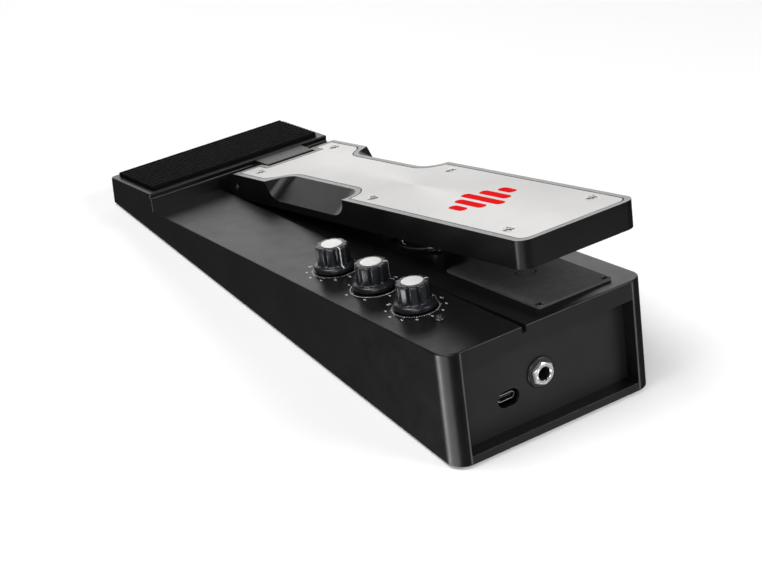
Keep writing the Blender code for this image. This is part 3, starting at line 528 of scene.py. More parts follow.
def add(name, obj, mat, body, nodes=(), sharp=32):
    """Names and shades a finished piece, and hands it to its body."""
    obj.name = name
    obj.data.name = name
    obj.data.materials.clear()
    obj.data.materials.append(mat)
    for face in obj.data.polygons:
        face.use_smooth = True
    obj.data.set_sharp_from_angle(angle=math.radians(sharp))
    normals = obj.modifiers.new("Normals", "WEIGHTED_NORMAL")
    normals.keep_sharp = True
    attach(obj, body)
    if nodes:
        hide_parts(*nodes)
    return obj


# ---------------------------------------------------------------- base casting

def side_profile(floor_h, drop=0.0):
    toe_h = TOE_H - drop
    ground = FOOT_RISE
    return [
        (-HALF_L, ground),
        (HALF_L, ground),
        (toe_x(toe_h), ground + toe_h),
        (DECK_X0, ground + floor_h - drop),
        (STEP_X + 0.9 * MM, ground + HEEL_FRONT_H - 3.2 * MM),
        (STEP_X, ground + HEEL_FRONT_H - 2.9 * MM),
        (STEP_X, ground + HEEL_FRONT_H),
        (-HALF_L, ground + HEEL_BACK_H),
    ]


def knuckle():
    top = FOOT_RISE + HEEL_FRONT_H + 1.2 * MM
    pin_z = FOOT_RISE + HINGE_H
    nose = HINGE_X + 5.4 * MM
    back = STEP_X - 3 * MM
    outline = [(back, bay_z(STEP_X) - 2 * MM), (nose, bay_z(nose) - 2 * MM), (nose, pin_z)]
    outline += arc(nose - 4 * MM, top - 3.6 * MM, 4 * MM, 10, 80, 10)
    outline.append((back, heel_z(back) - 0.6 * MM))
    body = slab(outline, KNUCKLE_NEAR, KNUCKLE_FAR, "Y")
    ends = (KNUCKLE_NEAR, KNUCKLE_FAR)
    return bevel_where(body, lambda a, b: abs(a.y - b.y) < MM and a.z > bay_z(a.x) and min(
        abs(a.y - e) for e in ends) < MM, 0.5 * MM, 3)


def base_outside():
    near = slab(side_profile(DECK_HEEL_H), -HALF_W, LIP_Y, "Y")
    channel = slab(side_profile(BAY_HEEL_H, GROOVE_DEPTH), LIP_Y, BAY_Y, "Y")
    far = slab(side_profile(BAY_HEEL_H), BAY_Y, HALF_W, "Y")
    body = join(near, [channel, far])
    edit(body, lambda bm: bmesh.ops.dissolve_limit(
        bm, angle_limit=math.radians(0.2), verts=bm.verts, edges=bm.edges))

    def toe_corner(a, b):
        upright = abs(a.z - b.z) > 20 * MM and abs(a.y - b.y) < MM
        return upright and min(a.x, b.x) > 0 and min(abs(a.y), abs(b.y)) > HALF_W - MM

    def heel_corner(a, b):
        return max(a.x, b.x) < -HALF_L + MM and abs(a.z - b.z) > 5 * MM

    def raised(a, b):
        return min(a.z, b.z) > FOOT_RISE + 2 * MM

    def top_edge(a, b):
        rim = min(abs(a.y), abs(b.y)) > HALF_W - 9 * MM and a.y * b.y > 0
        across = abs(a.y - b.y) > 5 * MM
        toe = min(a.x, b.x) > TOE_TOP_X - MM and across
        heel = max(a.x, b.x) < STEP_X + 0.5 * MM and across
        return raised(a, b) and (rim or toe or heel)

    def lip(a, b):
        along = abs(a.x - b.x) > 50 * MM
        return raised(a, b) and along and max(abs(a.y - LIP_Y), abs(b.y - LIP_Y)) < 3 * MM

    bevel_where(body, toe_corner, TOE_CORNER_R, 14)
    bevel_where(body, heel_corner, HEEL_CORNER_R, 5)
    bevel_where(body, top_edge, TOP_EDGE_R, 6)
    bevel_where(body, lip, LIP_R, 3)
    return body


def base_cavity():
    """The hollow under the deck, the groove and the bay, with the ledge that the base plate lies on."""
    top = ROOF_WALL / math.cos(math.atan(BAY_SLOPE))
    back = RECESS_DEPTH + PANEL_WALL
    start = CAVITY_HEEL_X
    low = FOOT_RISE - MM
    side = HALF_W - SIDE_WALL

    def room(floor, y0, y1):
        roof = floor(TOE_TOP_X - back) - top
        outline = [(start, low), (toe_x(0) - back, low), (toe_x(roof - FOOT_RISE) - back, roof)]
        outline.append((start, floor(start) - top))
        return slab(outline, y0, y1, "Y")

    near = room(deck_z, -side, LIP_Y - ROOF_WALL)
    middle = room(lambda x: bay_z(x) - GROOVE_DEPTH, LIP_Y - 2 * ROOF_WALL, BAY_Y + 2 * ROOF_WALL)
    far = room(bay_z, BAY_Y + ROOF_WALL, side)
    rim = HALF_W - 2 * MM
    ledge = box((-HALF_L + 2 * MM, -rim, 0), (HALF_L - 8.2 * MM, rim, FOOT_RISE + 2.3 * MM))
    return join(near, [middle, far, ledge])


def base_holes():
    """The holes for the sockets, pots, indicator, spring seat, button and hinge bushes."""
    usb_hole = slab(rounded(11 * MM, 7.4 * MM, 3.69 * MM, 12), -20 * MM, 5 * MM)
    holes = [cylinder((JACK_THREAD_R + 0.3) * MM, -20 * MM, 5 * MM, panel_place(*JACK))]
    holes.append(moved(usb_hole, panel_place(*USB)))
    for x in KNOB_X:
        holes.append(cylinder(POT_HOLE_R, -15 * MM, 9 * MM, deck_place(x, KNOB_Y)))
    holes.append(cylinder((LED_R + 0.1) * MM, -15 * MM, 9 * MM, deck_place(*LED)))
    holes.append(cylinder(SEAT_R + 0.3 * MM, 0, 9 * MM, spring_recess(), 96))
    holes.append(cylinder(BUTTON_R + 0.3 * MM, -15 * MM, 9 * MM, bay_place(*BUTTON)))
    holes.append(cylinder(BUSH_HOLE_R, KNUCKLE_NEAR - MM, KNUCKLE_FAR + MM, PIN_PLACE))
    return holes


def base_housing():
    body = join(base_outside(), [knuckle()])
    wide = 2 * (HALF_W - RECESS_MARGIN)
    tall = RECESS_HIGH - RECESS_LOW
    recess = slab(rounded(wide, tall, 0.7 * MM, 4), 0, 20 * MM)
    moved(recess, panel_place(0, (RECESS_LOW + RECESS_HIGH) / 2))
    body = cut(body, [recess, base_cavity()])
    body = cut(body, base_holes())
    panel = panel_place(0, 0).inverted()

    def mouth(a, b):
        """The edge where the recess breaks out of the toe face."""
        p, q = panel @ a, panel @ b
        on_face = min(p.z, q.z) > RECESS_DEPTH - 0.4 * MM
        inside = max(abs(p.x), abs(q.x)) < HALF_W - 7 * MM
        level = 2 * MM < min(p.y, q.y) and max(p.y, q.y) < RECESS_HIGH + MM
        return on_face and inside and level

    def usb_rim(a, b):
        p, q = panel @ a, panel @ b
        level = max(abs(p.z), abs(q.z)) < 0.05 * MM
        near_hole = max(math.dist(v.xy, USB) for v in (p, q)) < 8 * MM
        return level and near_hole

    def panel_face(centre):
        return abs((panel @ centre).z) < 0.05 * MM and centre.x > 0.9 * TOE_TOP_X

    def mouth_face(centre):
        spot = panel @ centre
        on_round = 0.01 * MM < RECESS_DEPTH - spot.z < MOUTH_R + 0.01 * MM
        level = RECESS_LOW - MM < spot.y < RECESS_HIGH + MM
        return on_round and level and abs(spot.x) < HALF_W - RECESS_MARGIN + MM

    bevel_where(body, mouth, MOUTH_R, 3)
    bevel_where(body, usb_rim, 0.3 * MM, 2)
    add("base_casting", body, COAT, BASE, ["base_housing"])
    # painted reflection: the recess panel's faces get the lighter coat
    paint_where(body, PANEL_REFLECTION_COAT, panel_face)
    # the mouth's rounded faces get the lighter coat, a painted highlight along the recess edge
    paint_where(body, MOUTH_HIGHLIGHT_COAT, mouth_face)


def heel_mat():
    """A rubber mat with round-topped ribs running across the pedal."""
    slope = (HEEL_FRONT_H - HEEL_BACK_H) / HEEL_PLATE_L
    length = 37.6 * MM
    ribs = 12
    pitch = length / ribs
    valley = 1.1 * MM
    crest = 1.9 * MM
    outline = [(length, 0), (0, 0), (0, valley)]
    for i in range(ribs):
        start = i * pitch
        top = (start + 0.45 * MM, start + pitch - 0.75 * MM)
        r = 0.35 * MM
        outline.append((start + 0.1 * MM, valley))
        outline += arc(top[0] + r, crest - r, r, 170, 90, 3)
        outline += arc(top[1] - r, crest - r, r, 90, 10, 3)
        outline.append((start + pitch - 0.4 * MM, valley))
    outline.append((length, valley))
    half = HALF_W - 4 * MM
    body = slab(outline, -half, half, "Y")
    x0 = -HALF_L + 3.2 * MM
    moved(body, sloped_place(x0, 0, heel_z(x0) + 0.15 * MM, slope))
    add("ribbed_mat", body, RUBBER, BASE, ["heel_mat"])


# ---------------------------------------------------------------- footboard

def waist(inset, side, waist_y, sign, steps=10):
    """One scoop's top edge from the lug to the toe part; sign points into the board."""
    outer = side + sign * inset
    end = WAIST_TOE + inset
    r1 = WAIST_HEEL_R + inset
    r2 = WAIST_TOE_R + inset
    toe_centre = waist_y - sign * WAIST_TOE_R
    rise = max(sign * (outer - toe_centre), 0.0)
    last = math.degrees(math.asin(rise / r2))
    points = [(WAIST_HEEL - 1.6 * inset, outer)]
    points += arc(WAIST_HEEL + 12 * MM, waist_y - sign * WAIST_HEEL_R, r1, 155 * sign, 90 * sign, steps)
    points += arc(end - r2, toe_centre, r2, 90 * sign, last * sign, steps + 4)
    if rise == 0.0:
        points.append((end, outer))
    return points


def board_outline(inset):
    near = BOARD_NEAR + inset
    far = BOARD_FAR - inset
    toe = BOARD_TOE - inset
    heel = PLATE_HEEL - PLATE_INSET + inset
    r = PLATE_CORNER_R
    notch = NOTCH_END + inset
    lug_near = KNUCKLE_NEAR - 0.3 * MM - inset
    lug_far = KNUCKLE_FAR + 0.3 * MM + inset
    points = [(heel, near)]
    points += waist(inset, BOARD_NEAR, WAIST_NEAR, 1)
    points += arc(toe - r, near + r, r, -90, 0, 8)
    points += arc(toe - r, far - r, r, 0, 90, 8)
    points += reversed(waist(inset, BOARD_FAR, WAIST_FAR, -1))
    points += [(heel, far), (heel, lug_far), (notch, lug_far), (notch, lug_near), (heel, lug_near)]
    return points


def scoop(side, waist_y, sign):
    """The scoop's volume: the waist's outline swept outwards and down from the board's top."""
    reach = 12 * MM
    beyond = side - sign * reach
    outline = [(WAIST_HEEL - SCOOP_SLANT * reach, beyond)]
    outline += waist(0, side, waist_y, sign, 16)
    outline.append((WAIST_TOE, beyond))
    lean = (waist_y - side) / SCOOP_DROP
    shear = Matrix.Identity(4)
    shear[1][2] = lean
    shear[1][3] = -lean * HALF_T
    return moved(slab(outline, -20 * MM, 20 * MM), shear)


def board_block():
    outline = arc(LUG_END + LUG_R, HALF_T - LUG_R, LUG_R, 90, 180, 10)
    outline += arc(LUG_END + LUG_R, -HALF_T + LUG_R, LUG_R, 180, 270, 10)
    outline += [(BOARD_TOE - 1.6 * MM, -HALF_T), (BOARD_TOE, HALF_T)]
    body = slab(outline, BOARD_NEAR, BOARD_FAR, "Y")

    def corner(a, b):
        return min(a.x, b.x) > BOARD_TOE - 3 * MM and abs(a.z - b.z) > 5 * MM

    bevel_where(body, corner, BOARD_CORNER_R, 10)
    return body


def plate_screw_places():
    rows = (BOARD_NEAR + 8.9 * MM, BOARD_FAR - 7.9 * MM)
    return [Matrix.Translation((x * MM, y, HALF_T)) for x in (12, 117.3, 221.8) for y in rows]


def footboard_body():
    gap = 0.3 * MM
    body = board_block()
    notch = box((-20 * MM, KNUCKLE_NEAR - gap, -20 * MM), (NOTCH_END, KNUCKLE_FAR + gap, 20 * MM))
    body = cut(body, [scoop(BOARD_NEAR, WAIST_NEAR, 1), scoop(BOARD_FAR, WAIST_FAR, -1), notch])
    edit(body, lambda bm: bmesh.ops.dissolve_limit(
        bm, angle_limit=math.radians(0.2), verts=bm.verts, edges=bm.edges))
    bevel_where(body, lambda a, b: True, 0.9 * MM, 4, 38)
    bed = slab(board_outline(PLATE_INSET - PLATE_GAP), HALF_T - PLATE_T, HALF_T + 9 * MM)
    hollow = rounded(BOARD_TOE - WAIST_TOE - 13 * MM, POCKET_W, 2 * MM)
    pocket = slab(hollow, -HALF_T - 5 * MM, -HALF_T + POCKET_DEPTH)
    moved(pocket, Matrix.Translation(((BOARD_TOE + WAIST_TOE - MM) / 2, BOARD_MID, 0)))
    turn = Matrix.Rotation(math.radians(-90), 4, "X")
    bore = cylinder(2.3 * MM, BOARD_NEAR - MM, BOARD_FAR + MM, turn)
    body = cut(body, [bed, pocket, bore])
    centre = Matrix.Translation((STRIKER_ALONG, BOARD_MID, 0))
    body = join(body, [cylinder(8 * MM, -HALF_T + 1.5 * MM, 0.5 * HALF_T, centre)])
    body = cut(body, [cylinder(2.1 * MM, -9 * MM, 1.2 * MM, centre)])
    moved(body, BOARD_PLACE)
    add("board_casting", body, BOARD_COAT, BOARD, ["footboard_body"])
    level = BOARD_PLACE.inverted()
    paint_where(body, RIM, lambda centre: abs((level @ centre).z - HALF_T) < 0.02 * MM)


def footboard_plate():
    body = slab(board_outline(PLATE_INSET), HALF_T - PLATE_T + 0.1 * MM, HALF_T)
    body = cut(body, [cylinder(1.9 * MM, -9 * MM, 9 * MM, p) for p in plate_screw_places()])
    body = soften(body, 0.15 * MM, 2)
    moved(body, BOARD_PLACE)
    add("board_plate", body, ALUMINIUM, BOARD, ["footboard_plate"])


def level_mark():
    """A plain red emblem of round-ended bars, like a sound level display."""
    width, pitch = 4.5 * MM, 6.7 * MM
    bm = bmesh.new()
    for i, length in enumerate((11, 21, 30, 21, 11)):
        across = BOARD_MID + (i - 2) * pitch
        place = BOARD_PLACE @ Matrix.Translation((MARK_ALONG, across, HALF_T))
        print_on(bm, rounded(length * MM, width, 2.2 * MM, 10), place, 0.04 * MM)
    add("red_mark", new_piece(bm), RED, BOARD)


def screw_head(radius, dome):
    """A pan head with a cross recess, its seat at z = 0."""
    profile = [(0, dome), (radius * 0.3, dome * 0.98), (radius * 0.6, dome * 0.86)]
    profile += [(radius * 0.85, dome * 0.55), (radius * 0.98, dome * 0.2), (radius, 0), (0, 0)]
    body = lathe(profile, 40)
    arm, slot = radius * 0.64, radius * 0.16
    bars = []
    for x, y in ((arm, slot), (slot, arm)):
        bars.append(slab([(-x, -y), (x, -y), (x, y), (-x, y)], dome * 0.15, dome * 2))
    body = cut(body, [join(bars[0], [bars[1]])])
    return soften(body, radius * 0.03, 2)


def screws(name, places, head, mat, body):
    """A head of the given radius and height for each place, on a copy of the same mesh."""
    model = screw_head(*head)
    for i, place in enumerate(places, 1):
        screw = bpy.data.objects.new(name, model.data.copy())
        bpy.context.scene.collection.objects.link(screw)
        turn = Matrix.Rotation(math.radians(SCREW_TURN * i), 4, "Z")
        moved(screw, place @ turn)
        add(f"{name}_head_{i}", screw, mat, body, [f"{name}_{i}"])
    bpy.data.objects.remove(model, do_unlink=True)


def hinge_pin():
    low = BOARD_NEAR + 0.4 * MM
    high = BOARD_FAR - 0.4 * MM
    profile = [(0, high), (1.7 * MM, high), (2 * MM, high - 0.3 * MM), (2 * MM, low + 0.3 * MM)]
    profile += [(1.7 * MM, low), (0, low)]
    body = lathe(profile, 40)
    sockets = [cylinder(1.05 * MM, low - MM, low + 1.6 * MM, None, 6)]
    body = moved(cut(body, sockets), PIN_PLACE)
    add("hinge_shaft", body, ZINC, BASE, ["hinge_pin"])


# ---------------------------------------------------------------- spring, striker and pad

def spring_recess():
    """A frame on the floor of the recess that the spring's seat lies in."""
    return bay_place(*SPRING) @ Matrix.Translation((0, 0, -SEAT_SINK))


def spring_seat():
    profile = [(0, 4.75), (11.1, 4.75), (11.7, 4.55), (12.6, 3.75), (13.0, 1.6), (13.3, 1.1), (19.3, 1.0)]
    profile += [(19.7, 0.8), (19.8, 0.5), (19.8, 0.15), (0, 0.15)]
    body = moved(lathe(mm(profile), 96), spring_recess())
    add("seat_cup", body, NYLON, BASE, ["spring_seat"])


def return_spring():
    """A coil of round wire whose ends lie flat on the seat and under the footboard."""
    steps = 40
    total = int(SPRING_TURNS * steps)
    tilt = math.tan(TILT)
    seat = bay_z(SPRING[0]) + (1.3 * MM + WIRE_R - SEAT_SINK) / math.cos(math.atan(BAY_SLOPE))
    roof = FOOT_RISE + HINGE_H + (SPRING[0] - HINGE_X) * tilt
    roof += (-HALF_T + POCKET_DEPTH - 0.3 * MM - WIRE_R) / math.cos(TILT)
    curve = bpy.data.curves.new("coil", "CURVE")
    curve.dimensions = "3D"
    curve.bevel_depth = WIRE_R
    curve.bevel_resolution = 4
    curve.use_fill_caps = True
    spline = curve.splines.new("POLY")
    spline.points.add(total)
    for i in range(total + 1):
        angle = math.radians(-30) + 2 * math.pi * i / steps
        radius = SPRING_R + 1.6 * MM * max(1 - i / 4, 0.0)
        x, y = radius * math.cos(angle), radius * math.sin(angle)
        rise = min(max((i - 0.8 * steps) / (total - 1.6 * steps), 0.0), 1.0)
        low = seat + x * BAY_SLOPE
        high = roof + x * tilt
        spline.points[i].co = (SPRING[0] + x, SPRING[1] + y, low + (high - low) * rise, 1)
    obj = bpy.data.objects.new("coil", curve)
    bpy.context.scene.collection.objects.link(obj)
    coil = add("coil_spring", baked(obj), SPRING_WIRE, BASE, ["return_spring"], 50)
    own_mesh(coil)


def striker():
    top = -HALF_T + 1.2 * MM
    low = -HALF_T - 4 * MM
    r = 6 * MM
    nose = 1.2 * MM
    profile = [(0, 0.6 * MM), (1.8 * MM, 0.6 * MM), (1.8 * MM, top), (r - 0.4 * MM, top)]
    profile += [(r, top - 0.4 * MM), (r, low + nose)]
    rounding = mm([(1.1, 0.5), (0.8, 0.9), (0.4, 1.13), (0, 1.2)])
    profile += [(r - nose + x, low + nose - z) for x, z in rounding]
    profile.append((0, low))
    body = moved(lathe(profile, 64), BOARD_PLACE @ Matrix.Translation((STRIKER_ALONG, BOARD_MID, 0)))
    add("rubber_striker", body, RUBBER, BOARD, ["striker"])


def pad_length():
    return (PAD_TOE_X - PAD_HEEL_X) / math.cos(math.atan(BAY_SLOPE))


def pad_screw_places():
    rows = (PAD_NEAR + PAD_SCREW_INSET, PAD_FAR - PAD_SCREW_INSET)
    x = pad_length() - PAD_SCREW_INSET
    return [bay_place(PAD_HEEL_X, 0) @ Matrix.Translation((x, y, PAD_T)) for y in rows]


def strike_pad():
    length = pad_length()
    width = PAD_FAR - PAD_NEAR
    body = slab(rounded(length, width, 0.8 * MM), 0.15 * MM, PAD_T)
    moved(body, bay_place(PAD_HEEL_X, 0) @ Matrix.Translation((length / 2, PAD_NEAR + width / 2, 0)))
    holes = [cylinder(BUTTON_R + 0.45 * MM, -9 * MM, 9 * MM, bay_place(*BUTTON))]
    holes += [cylinder(1.1 * MM, -9 * MM, 9 * MM, p) for p in pad_screw_places()]
    body = soften(cut(body, holes), 0.14 * MM, 2)
    add("pad", body, PAD, BASE, ["strike_pad"])


def trigger_button():
    top = PAD_T
    profile = [(0, top), (BUTTON_R - 0.4 * MM, top), (BUTTON_R - 0.1 * MM, top - 0.1 * MM)]
    profile += [(BUTTON_R, top - 0.4 * MM), (BUTTON_R, -3.2 * MM), (BUTTON_R + 1.6 * MM, -3.2 * MM)]
    profile += [(BUTTON_R + 1.6 * MM, -4.4 * MM), (0, -4.4 * MM)]
    body = moved(lathe(profile, 64), bay_place(*BUTTON))
    add("pad_button", body, PAD, BASE, ["trigger_button"])


# ---------------------------------------------------------------- controls

def lobed(angle, radius, height):
    """Ten broad, slightly round faces with narrow valleys, which end in round bottoms above the skirt."""
    if radius < 6.2 * MM:
        return radius
    fade = min(max((height - 2.7 * MM) / (1.2 * MM), 0.0), 1.0) ** 0.5
    turn = abs((angle * 5 / math.pi + 0.5) % 1 - 0.5)
    face = 0.985 / math.cos(turn * math.pi / 5) ** 0.5
    valley = 0.13 * max(1 - (0.5 - turn) / 0.19, 0.0) ** 0.9
    return radius * (1 + (face - valley - 1) * fade)


def knob(i, x):
    turning = f"knob_{i}_turning"
    place = deck_place(x, KNOB_Y) @ Matrix.Rotation(math.radians(POINTERS[i - 1]), 4, "Z")
    lifted = place @ Matrix.Translation((0, 0, KNOB_LIFT))
    h = KNOB_H / MM
    profile = [(0, h), (4.9, h), (6.6, h), (7.05, h - 0.1), (7.35, h - 0.4), (7.5, h - 0.9)]
    profile += [(7.5, z) for z in (h - 3, 5.4, 4.2, 3.9, 3.6, 3.3)]
    profile += [(7.52, 3.0), (7.65, 2.8), (7.95, 2.66), (8.4, 2.56), (8.8, 2.4), (9.1, 2.15)]
    profile += [(9.3, 1.8), (9.4, 1.4), (9.4, 0.7), (9.3, 0.25), (9.1, 0)]
    profile += [(6.6, 0), (6.6, 2.2), (3.3, 2.2), (3.3, 8.6), (0, 8.6)]
    body = moved(lathe(mm(profile), 240, lobed), lifted)
    add(f"knob_grip_{i}", body, GLOSS, turning, [f"knob_{i}"], 40)
    cap = [(0, h + 0.42), (4.3, h + 0.42), (4.6, h + 0.38), (4.78, h + 0.25), (4.8, h + 0.1), (0, h + 0.1)]
    body = moved(lathe(mm(cap), 72), lifted)
    add(f"cap_disc_{i}", body, CAP, turning, [f"knob_cap_{i}"])
    line = [(5.3, h + 0.02), (6.5, h + 0.02), (6.98, h - 0.08), (7.27, h - 0.38), (7.42, h - 0.9)]
    line += [(7.42, 3.9), (7.47, 3.2), (7.7, 2.85), (8.4, 2.64), (9.0, 2.3)]
    pointer(f"pointer_{i}", mm(line), lifted, turning)


def pointer(name, path, place, body):
    """A thin white line over the knob's edge, down its side and out over its skirt."""
    half = 0.28 * MM
    lift = 0.02 * MM
    bm = bmesh.new()
    rows = []
    for x, z in path:
        rows.append([bm.verts.new((x + lift, y, z + lift)) for y in (-half, half)])
    inner = []
    for x, z in path:
        inner.append([bm.verts.new((x - 0.2 * MM, y, z - 0.2 * MM)) for y in (-half, half)])
    for a, b, c, d in zip(rows, rows[1:], inner, inner[1:]):
        bm.faces.new((a[0], b[0], b[1], a[1]))
        bm.faces.new((c[0], c[1], d[1], d[0]))
        bm.faces.new((a[0], c[0], d[0], b[0]))
        bm.faces.new((a[1], b[1], d[1], c[1]))
    for k in (0, -1):
        bm.faces.new((rows[k][0], rows[k][1], inner[k][1], inner[k][0]))
    bmesh.ops.recalc_face_normals(bm, faces=bm.faces)
    add(name, moved(new_piece(bm), place), PRINT, body)


def print_on(bm, points, place, thick=0.03 * MM):
    """Adds a thin printed shape to bm."""
    shape = moved(slab(points, 0, thick), place)
    bm.from_mesh(shape.data)
    bpy.data.objects.remove(shape, do_unlink=True)


def numeral(bm, text, size, place):
    curve = bpy.data.curves.new("numeral", "FONT")
    curve.body = text
    curve.size = size
    curve.align_x = "CENTER"
    curve.align_y = "CENTER"
    curve.extrude = 0.015 * MM
    curve.offset = 0.04 * MM
    curve.resolution_u = 3
    obj = bpy.data.objects.new("numeral", curve)
    bpy.context.scene.collection.objects.link(obj)
    obj = moved(baked(obj), place @ Matrix.Translation((0, 0, 0.015 * MM)))
    bm.from_mesh(obj.data)
    bpy.data.objects.remove(obj, do_unlink=True)


def bar(x0, x1, y0, y1):
    return [(x0, y0), (x1, y0), (x1, y1), (x0, y1)]


def ring_part(radius, width, start, end, steps):
    outer = arc(0, 0, radius + width / 2, start, end, steps)
    inner = arc(0, 0, radius - width / 2, end, start, steps)
    return outer + inner


def dial(i, x):
    """The printed scale round a knob, with numerals from 0 to 10, or a selector's arc with 1 to 7."""
    bm = bmesh.new()
    place = deck_place(x, KNOB_Y)
    first, last = 147.6, -152.4
    selector = i == 2
    if selector:
        print_on(bm, ring_part(10.6 * MM, 0.2 * MM, first, last, 90), place)
    count = 6 if selector else 50
    for k in range(count + 1):
        turn = first + (last - first) * k / count
        long = selector or k % 5 == 0
        out = 11.0 * MM if long else 10.5 * MM
        half = 0.14 * MM if long else 0.12 * MM
        spot = place @ Matrix.Rotation(math.radians(turn), 4, "Z")
        print_on(bm, bar(9.85 * MM, out, -half, half), spot)
    numbers = range(1, 8) if selector else range(11)
    for k, number in enumerate(numbers):
        turn = math.radians(first + (last - first) * k / (len(numbers) - 1))
        spot = Matrix.Translation((12.9 * MM * math.cos(turn), 12.9 * MM * math.sin(turn), 0))
        upright = Matrix.Rotation(math.radians(-90), 4, "Z")
        numeral(bm, str(number), 2.1 * MM, place @ spot @ upright)
    add(f"dial_print_{i}", new_piece(bm), PRINT, BASE)


def led():
    place = deck_place(*LED)
    inside = LED_R - 0.4
    bezel = [(inside, 0.6), (inside + 0.1, 0.85), (inside + 0.3, 0.92), (LED_R, 0.8)]
    bezel += [(2.35, 0.5), (2.5, 0.25), (2.5, 0.15), (LED_R, 0.15), (LED_R, -4.2)]
    bezel += [(inside, -4.2), (inside, 0.6)]
    add("led_ring", moved(lathe(mm(bezel), 64), place), BLACK_ZINC, BASE, ["led_bezel"])
    r = inside - 0.15
    dome = [(0, 2.0)] + [(r * math.sin(a / 10), 0.6 + 1.4 * math.cos(a / 10)) for a in range(2, 16, 2)]
    dome += [(r, 0.6), (r, -6.6), (0, -6.6)]
    add("led_dome", moved(lathe(mm(dome), 48), place), LENS, BASE, ["led_lens"])


# ---------------------------------------------------------------- toe panel

def panel_nut(hole):
    """A hexagon nut with a domed, polished front."""
    corner = JACK_NUT_R
    hexagon = lathe(mm([(0, 3), (corner, 3), (corner, 1.15), (0, 1.15)]), 6)
    nut = moved(hexagon, Matrix.Rotation(math.radians(36), 4, "Z"))
    trim = [(0, 3), (hole, 3), (4.4, 2.93), (4.7, 2.78), (corner - 0.2, 2.45), (corner + 0.3, 2.05)]
    trim += [(corner + 0.3, 1.5), (corner - 0.3, 1.15), (0, 1.15)]
    nut = combine(nut, [lathe(mm(trim), 96)], "INTERSECT")
    nut = cut(nut, [cylinder(hole * MM, -MM, 9 * MM)])
    return soften(nut, 0.1 * MM, 2, 30)


def output_jack():
    place = panel_place(*JACK)
    thread = JACK_THREAD_R
    sleeve = [(3.0, 2.5), (3.15, 2.8), (3.35, 3), (thread - 0.1, 3), (thread, 2.9)]
    for k in range(3):
        z = 2.7 - 0.5 * k
        sleeve += [(thread, z), (thread - 0.18, z - 0.25)]
    sleeve += [(thread, 1.2), (thread, -4), (3.0, -4), (3.0, 2.5)]
    add("jack_ferrule", moved(lathe(mm(sleeve), 72), place), CHROME, BASE)
    block = slab(rounded(16 * MM, 16 * MM, 1 * MM), -26 * MM, -PANEL_WALL - 0.4 * MM)
    block = cut(block, [cylinder(3.0 * MM, -22 * MM, 9 * MM)])
    add("jack_case", moved(block, place), NYLON, BASE, ["output_jack"])
    leaf = [(-1.2 * MM, -2.9 * MM), (1.2 * MM, -2.9 * MM), (0.8 * MM, -1.7 * MM), (-0.8 * MM, -1.7 * MM)]
    spring = moved(slab(leaf, -9 * MM, -1.5 * MM), Matrix.Rotation(math.radians(-100), 4, "Z"))
    add("jack_contact", moved(spring, place), CONTACT, BASE)
    hole = thread + 0.15
    ring = [(hole, 1.1), (6.1, 1.1), (6.5, 1.05), (6.8, 0.85), (7.0, 0.5), (7.0, 0.15)]
    ring += [(hole, 0.15), (hole, 1.1)]
    add("washer_ring", moved(lathe(mm(ring), 96), place), WASHER, BASE, ["jack_washer"])
    add("panel_nut", moved(panel_nut(hole), place), NICKEL, BASE, ["jack_nut"], 25)


def usb_socket():
    place = panel_place(*USB)
    back = -USB_BACK
    shell = slab(rounded(8.9 * MM, 3.2 * MM, 1.59 * MM, 10), back - 8.4 * MM, back)
    shell = cut(shell, [slab(rounded(8.3 * MM, 2.6 * MM, 1.29 * MM, 10), back - 5.9 * MM, 5 * MM)])
    tongue = slab(bar(-3.3 * MM, 3.3 * MM, -0.35 * MM, 0.35 * MM), back - 6.4 * MM, back - MM)
    shell = soften(shell, 0.06 * MM, 2)
    add("usb_shell", moved(shell, place), SHELL, BASE, ["usb_socket"])
    add("usb_tongue", moved(soften(tongue, 0.08 * MM, 2), place), NYLON, BASE)


# ---------------------------------------------------------------- underside and inside

def base_screw_places():
    flip = Matrix.Rotation(math.pi, 4, "X")
    spots = [(x * MM, y * MM) for x in (-140, -66, 128) for y in (-41, 41)]
    return [Matrix.Translation((x, y, FOOT_RISE)) @ flip for x, y in spots]


def rubber_feet():
    spots = [(x * MM, y * MM) for x in (-132, 118) for y in (-32, 32)]
    for i, (x, y) in enumerate(spots, 1):
        profile = [(0, 1.6), (6, 1.6), (6.35, 1.3), (6.4, 0.8), (6.2, 0.3), (5.7, 0.03), (5.4, 0), (0, 0)]
        body = moved(lathe(mm(profile), 64), Matrix.Translation((x, y, 0)))
        add(f"foot_{i}", body, RUBBER, BASE, [f"rubber_foot_{i}"])


def inner_nodes():
    """The CAD's own shapes that stay, each with a finished material."""
    looks = {
        "base_plate": PLATE_PAINT,
        "hinge_bush_near": BRONZE,
        "hinge_bush_far": BRONZE,
        "force_sensor": FILM,
        "control_board": BOARD_GREEN,
        "main_board": BOARD_GREEN,
        "processor": NYLON,
    }
    for i in (1, 2, 3):
        looks[f"pot_{i}"] = SHELL
        looks[f"pot_nut_{i}"] = CHROME
        looks[f"pot_shaft_{i}"] = ZINC
    for name, mat in looks.items():
        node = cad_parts[name]
        node.data.materials.clear()
        node.data.materials.append(mat)


# ---------------------------------------------------------------- studio

def camera():
    data = bpy.data.cameras.new("camera")
    data.lens = 92.24
    data.sensor_width = 36
    data.clip_start = 0.01
    obj = bpy.data.objects.new("camera", data)
    obj.location = (0.67365, -0.42414, 0.46643 + FOOT_RISE)
    obj.rotation_euler = [math.radians(a) for a in (59.648, 2.4756, 55.591)]
    bpy.context.scene.collection.objects.link(obj)
    bpy.context.scene.camera = obj


def area_light(name, place, target, size, power):
    data = bpy.data.lights.new(name, "AREA")
    data.shape = "RECTANGLE"
    data.size, data.size_y = size
    data.energy = power
    obj = bpy.data.objects.new(name, data)
    obj.location = place
    obj.rotation_euler = (Vector(target) - Vector(place)).to_track_quat("-Z", "Y").to_euler()
    obj.visible_camera = False
    bpy.context.scene.collection.objects.link(obj)


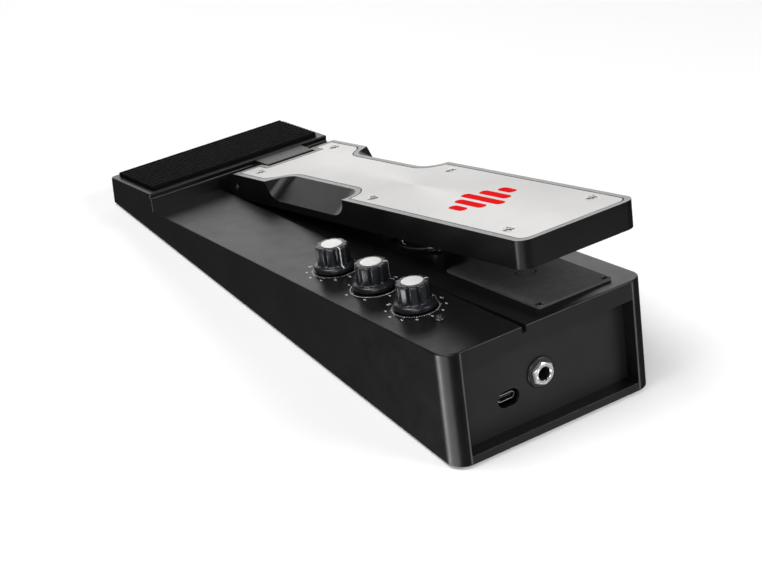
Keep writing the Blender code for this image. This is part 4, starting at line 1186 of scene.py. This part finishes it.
def studio():
    bpy.context.scene.view_settings.view_transform = "Standard"
    world = bpy.data.worlds.new("studio")
    world.use_nodes = True
    back = world.node_tree.nodes["Background"]
    back.inputs["Color"].default_value = (1, 1, 1, 1)
    back.inputs["Strength"].default_value = 0.06
    bpy.context.scene.world = world
    look = Look("pale_floor")
    tone = look.mix(look.ramp(look.noise(3), 0, 1), (0.88, 0.88, 0.88), (0.9, 0.9, 0.9))
    look.finish(Base_Color=tone, Roughness=0.9, Emission_Color=(1, 1, 1, 1), Emission_Strength=0.14)
    bm = bmesh.new()
    bmesh.ops.create_grid(bm, x_segments=1, y_segments=1, size=6)
    floor = new_piece(bm, "floor")
    floor.data.materials.append(look.mat)
    floor.visible_glossy = False
    floor.visible_shadow = False
    area_light("backdrop", (-1.5, 0.85, 0.33), (0, 0.05, 0.05), (2.6, 1.05), 12.6)
    area_light("overhead", (-0.2, -0.6, 1.4), (0, 0, 0), (1.0, 0.8), 18)
    area_light("fill", (1.25, -0.85, 0.8), (0.05, 0, 0.03), (0.8, 0.8), 9)
    area_light("right", (0.9, 0.65, 0.75), (0.14, 0, 0.05), (0.6, 0.5), 7)
    area_light("table_front", (-0.02, -0.59, -0.25), (0.13, -0.04, 0.03), (0.16, 0.2), 1.3)
    area_light("table_corner", (0.3, -0.61, -0.36), (0.14, -0.05, 0.03), (0.7, 0.35), 3.2)
    area_light("table_right", (0.27, 0.075, -0.03), (0.143, 0, 0.025), (0.16, 0.16), 0.045)


camera()
base_housing()
heel_mat()
footboard_body()
footboard_plate()
level_mark()
board_screws = [BOARD_PLACE @ p for p in plate_screw_places()]
screws("plate_screw", board_screws, PLATE_HEAD, ZINC, BOARD)
hinge_pin()
spring_seat()
return_spring()
striker()
strike_pad()
screws("pad_screw", pad_screw_places(), PAD_HEAD, BLACK_ZINC, BASE)
trigger_button()
for number, knob_x in enumerate(KNOB_X, 1):
    knob(number, knob_x)
    dial(number, knob_x)
led()
output_jack()
usb_socket()
screws("base_screw", base_screw_places(), BASE_HEAD, BLACK_ZINC, BASE)
rubber_feet()
inner_nodes()
studio()
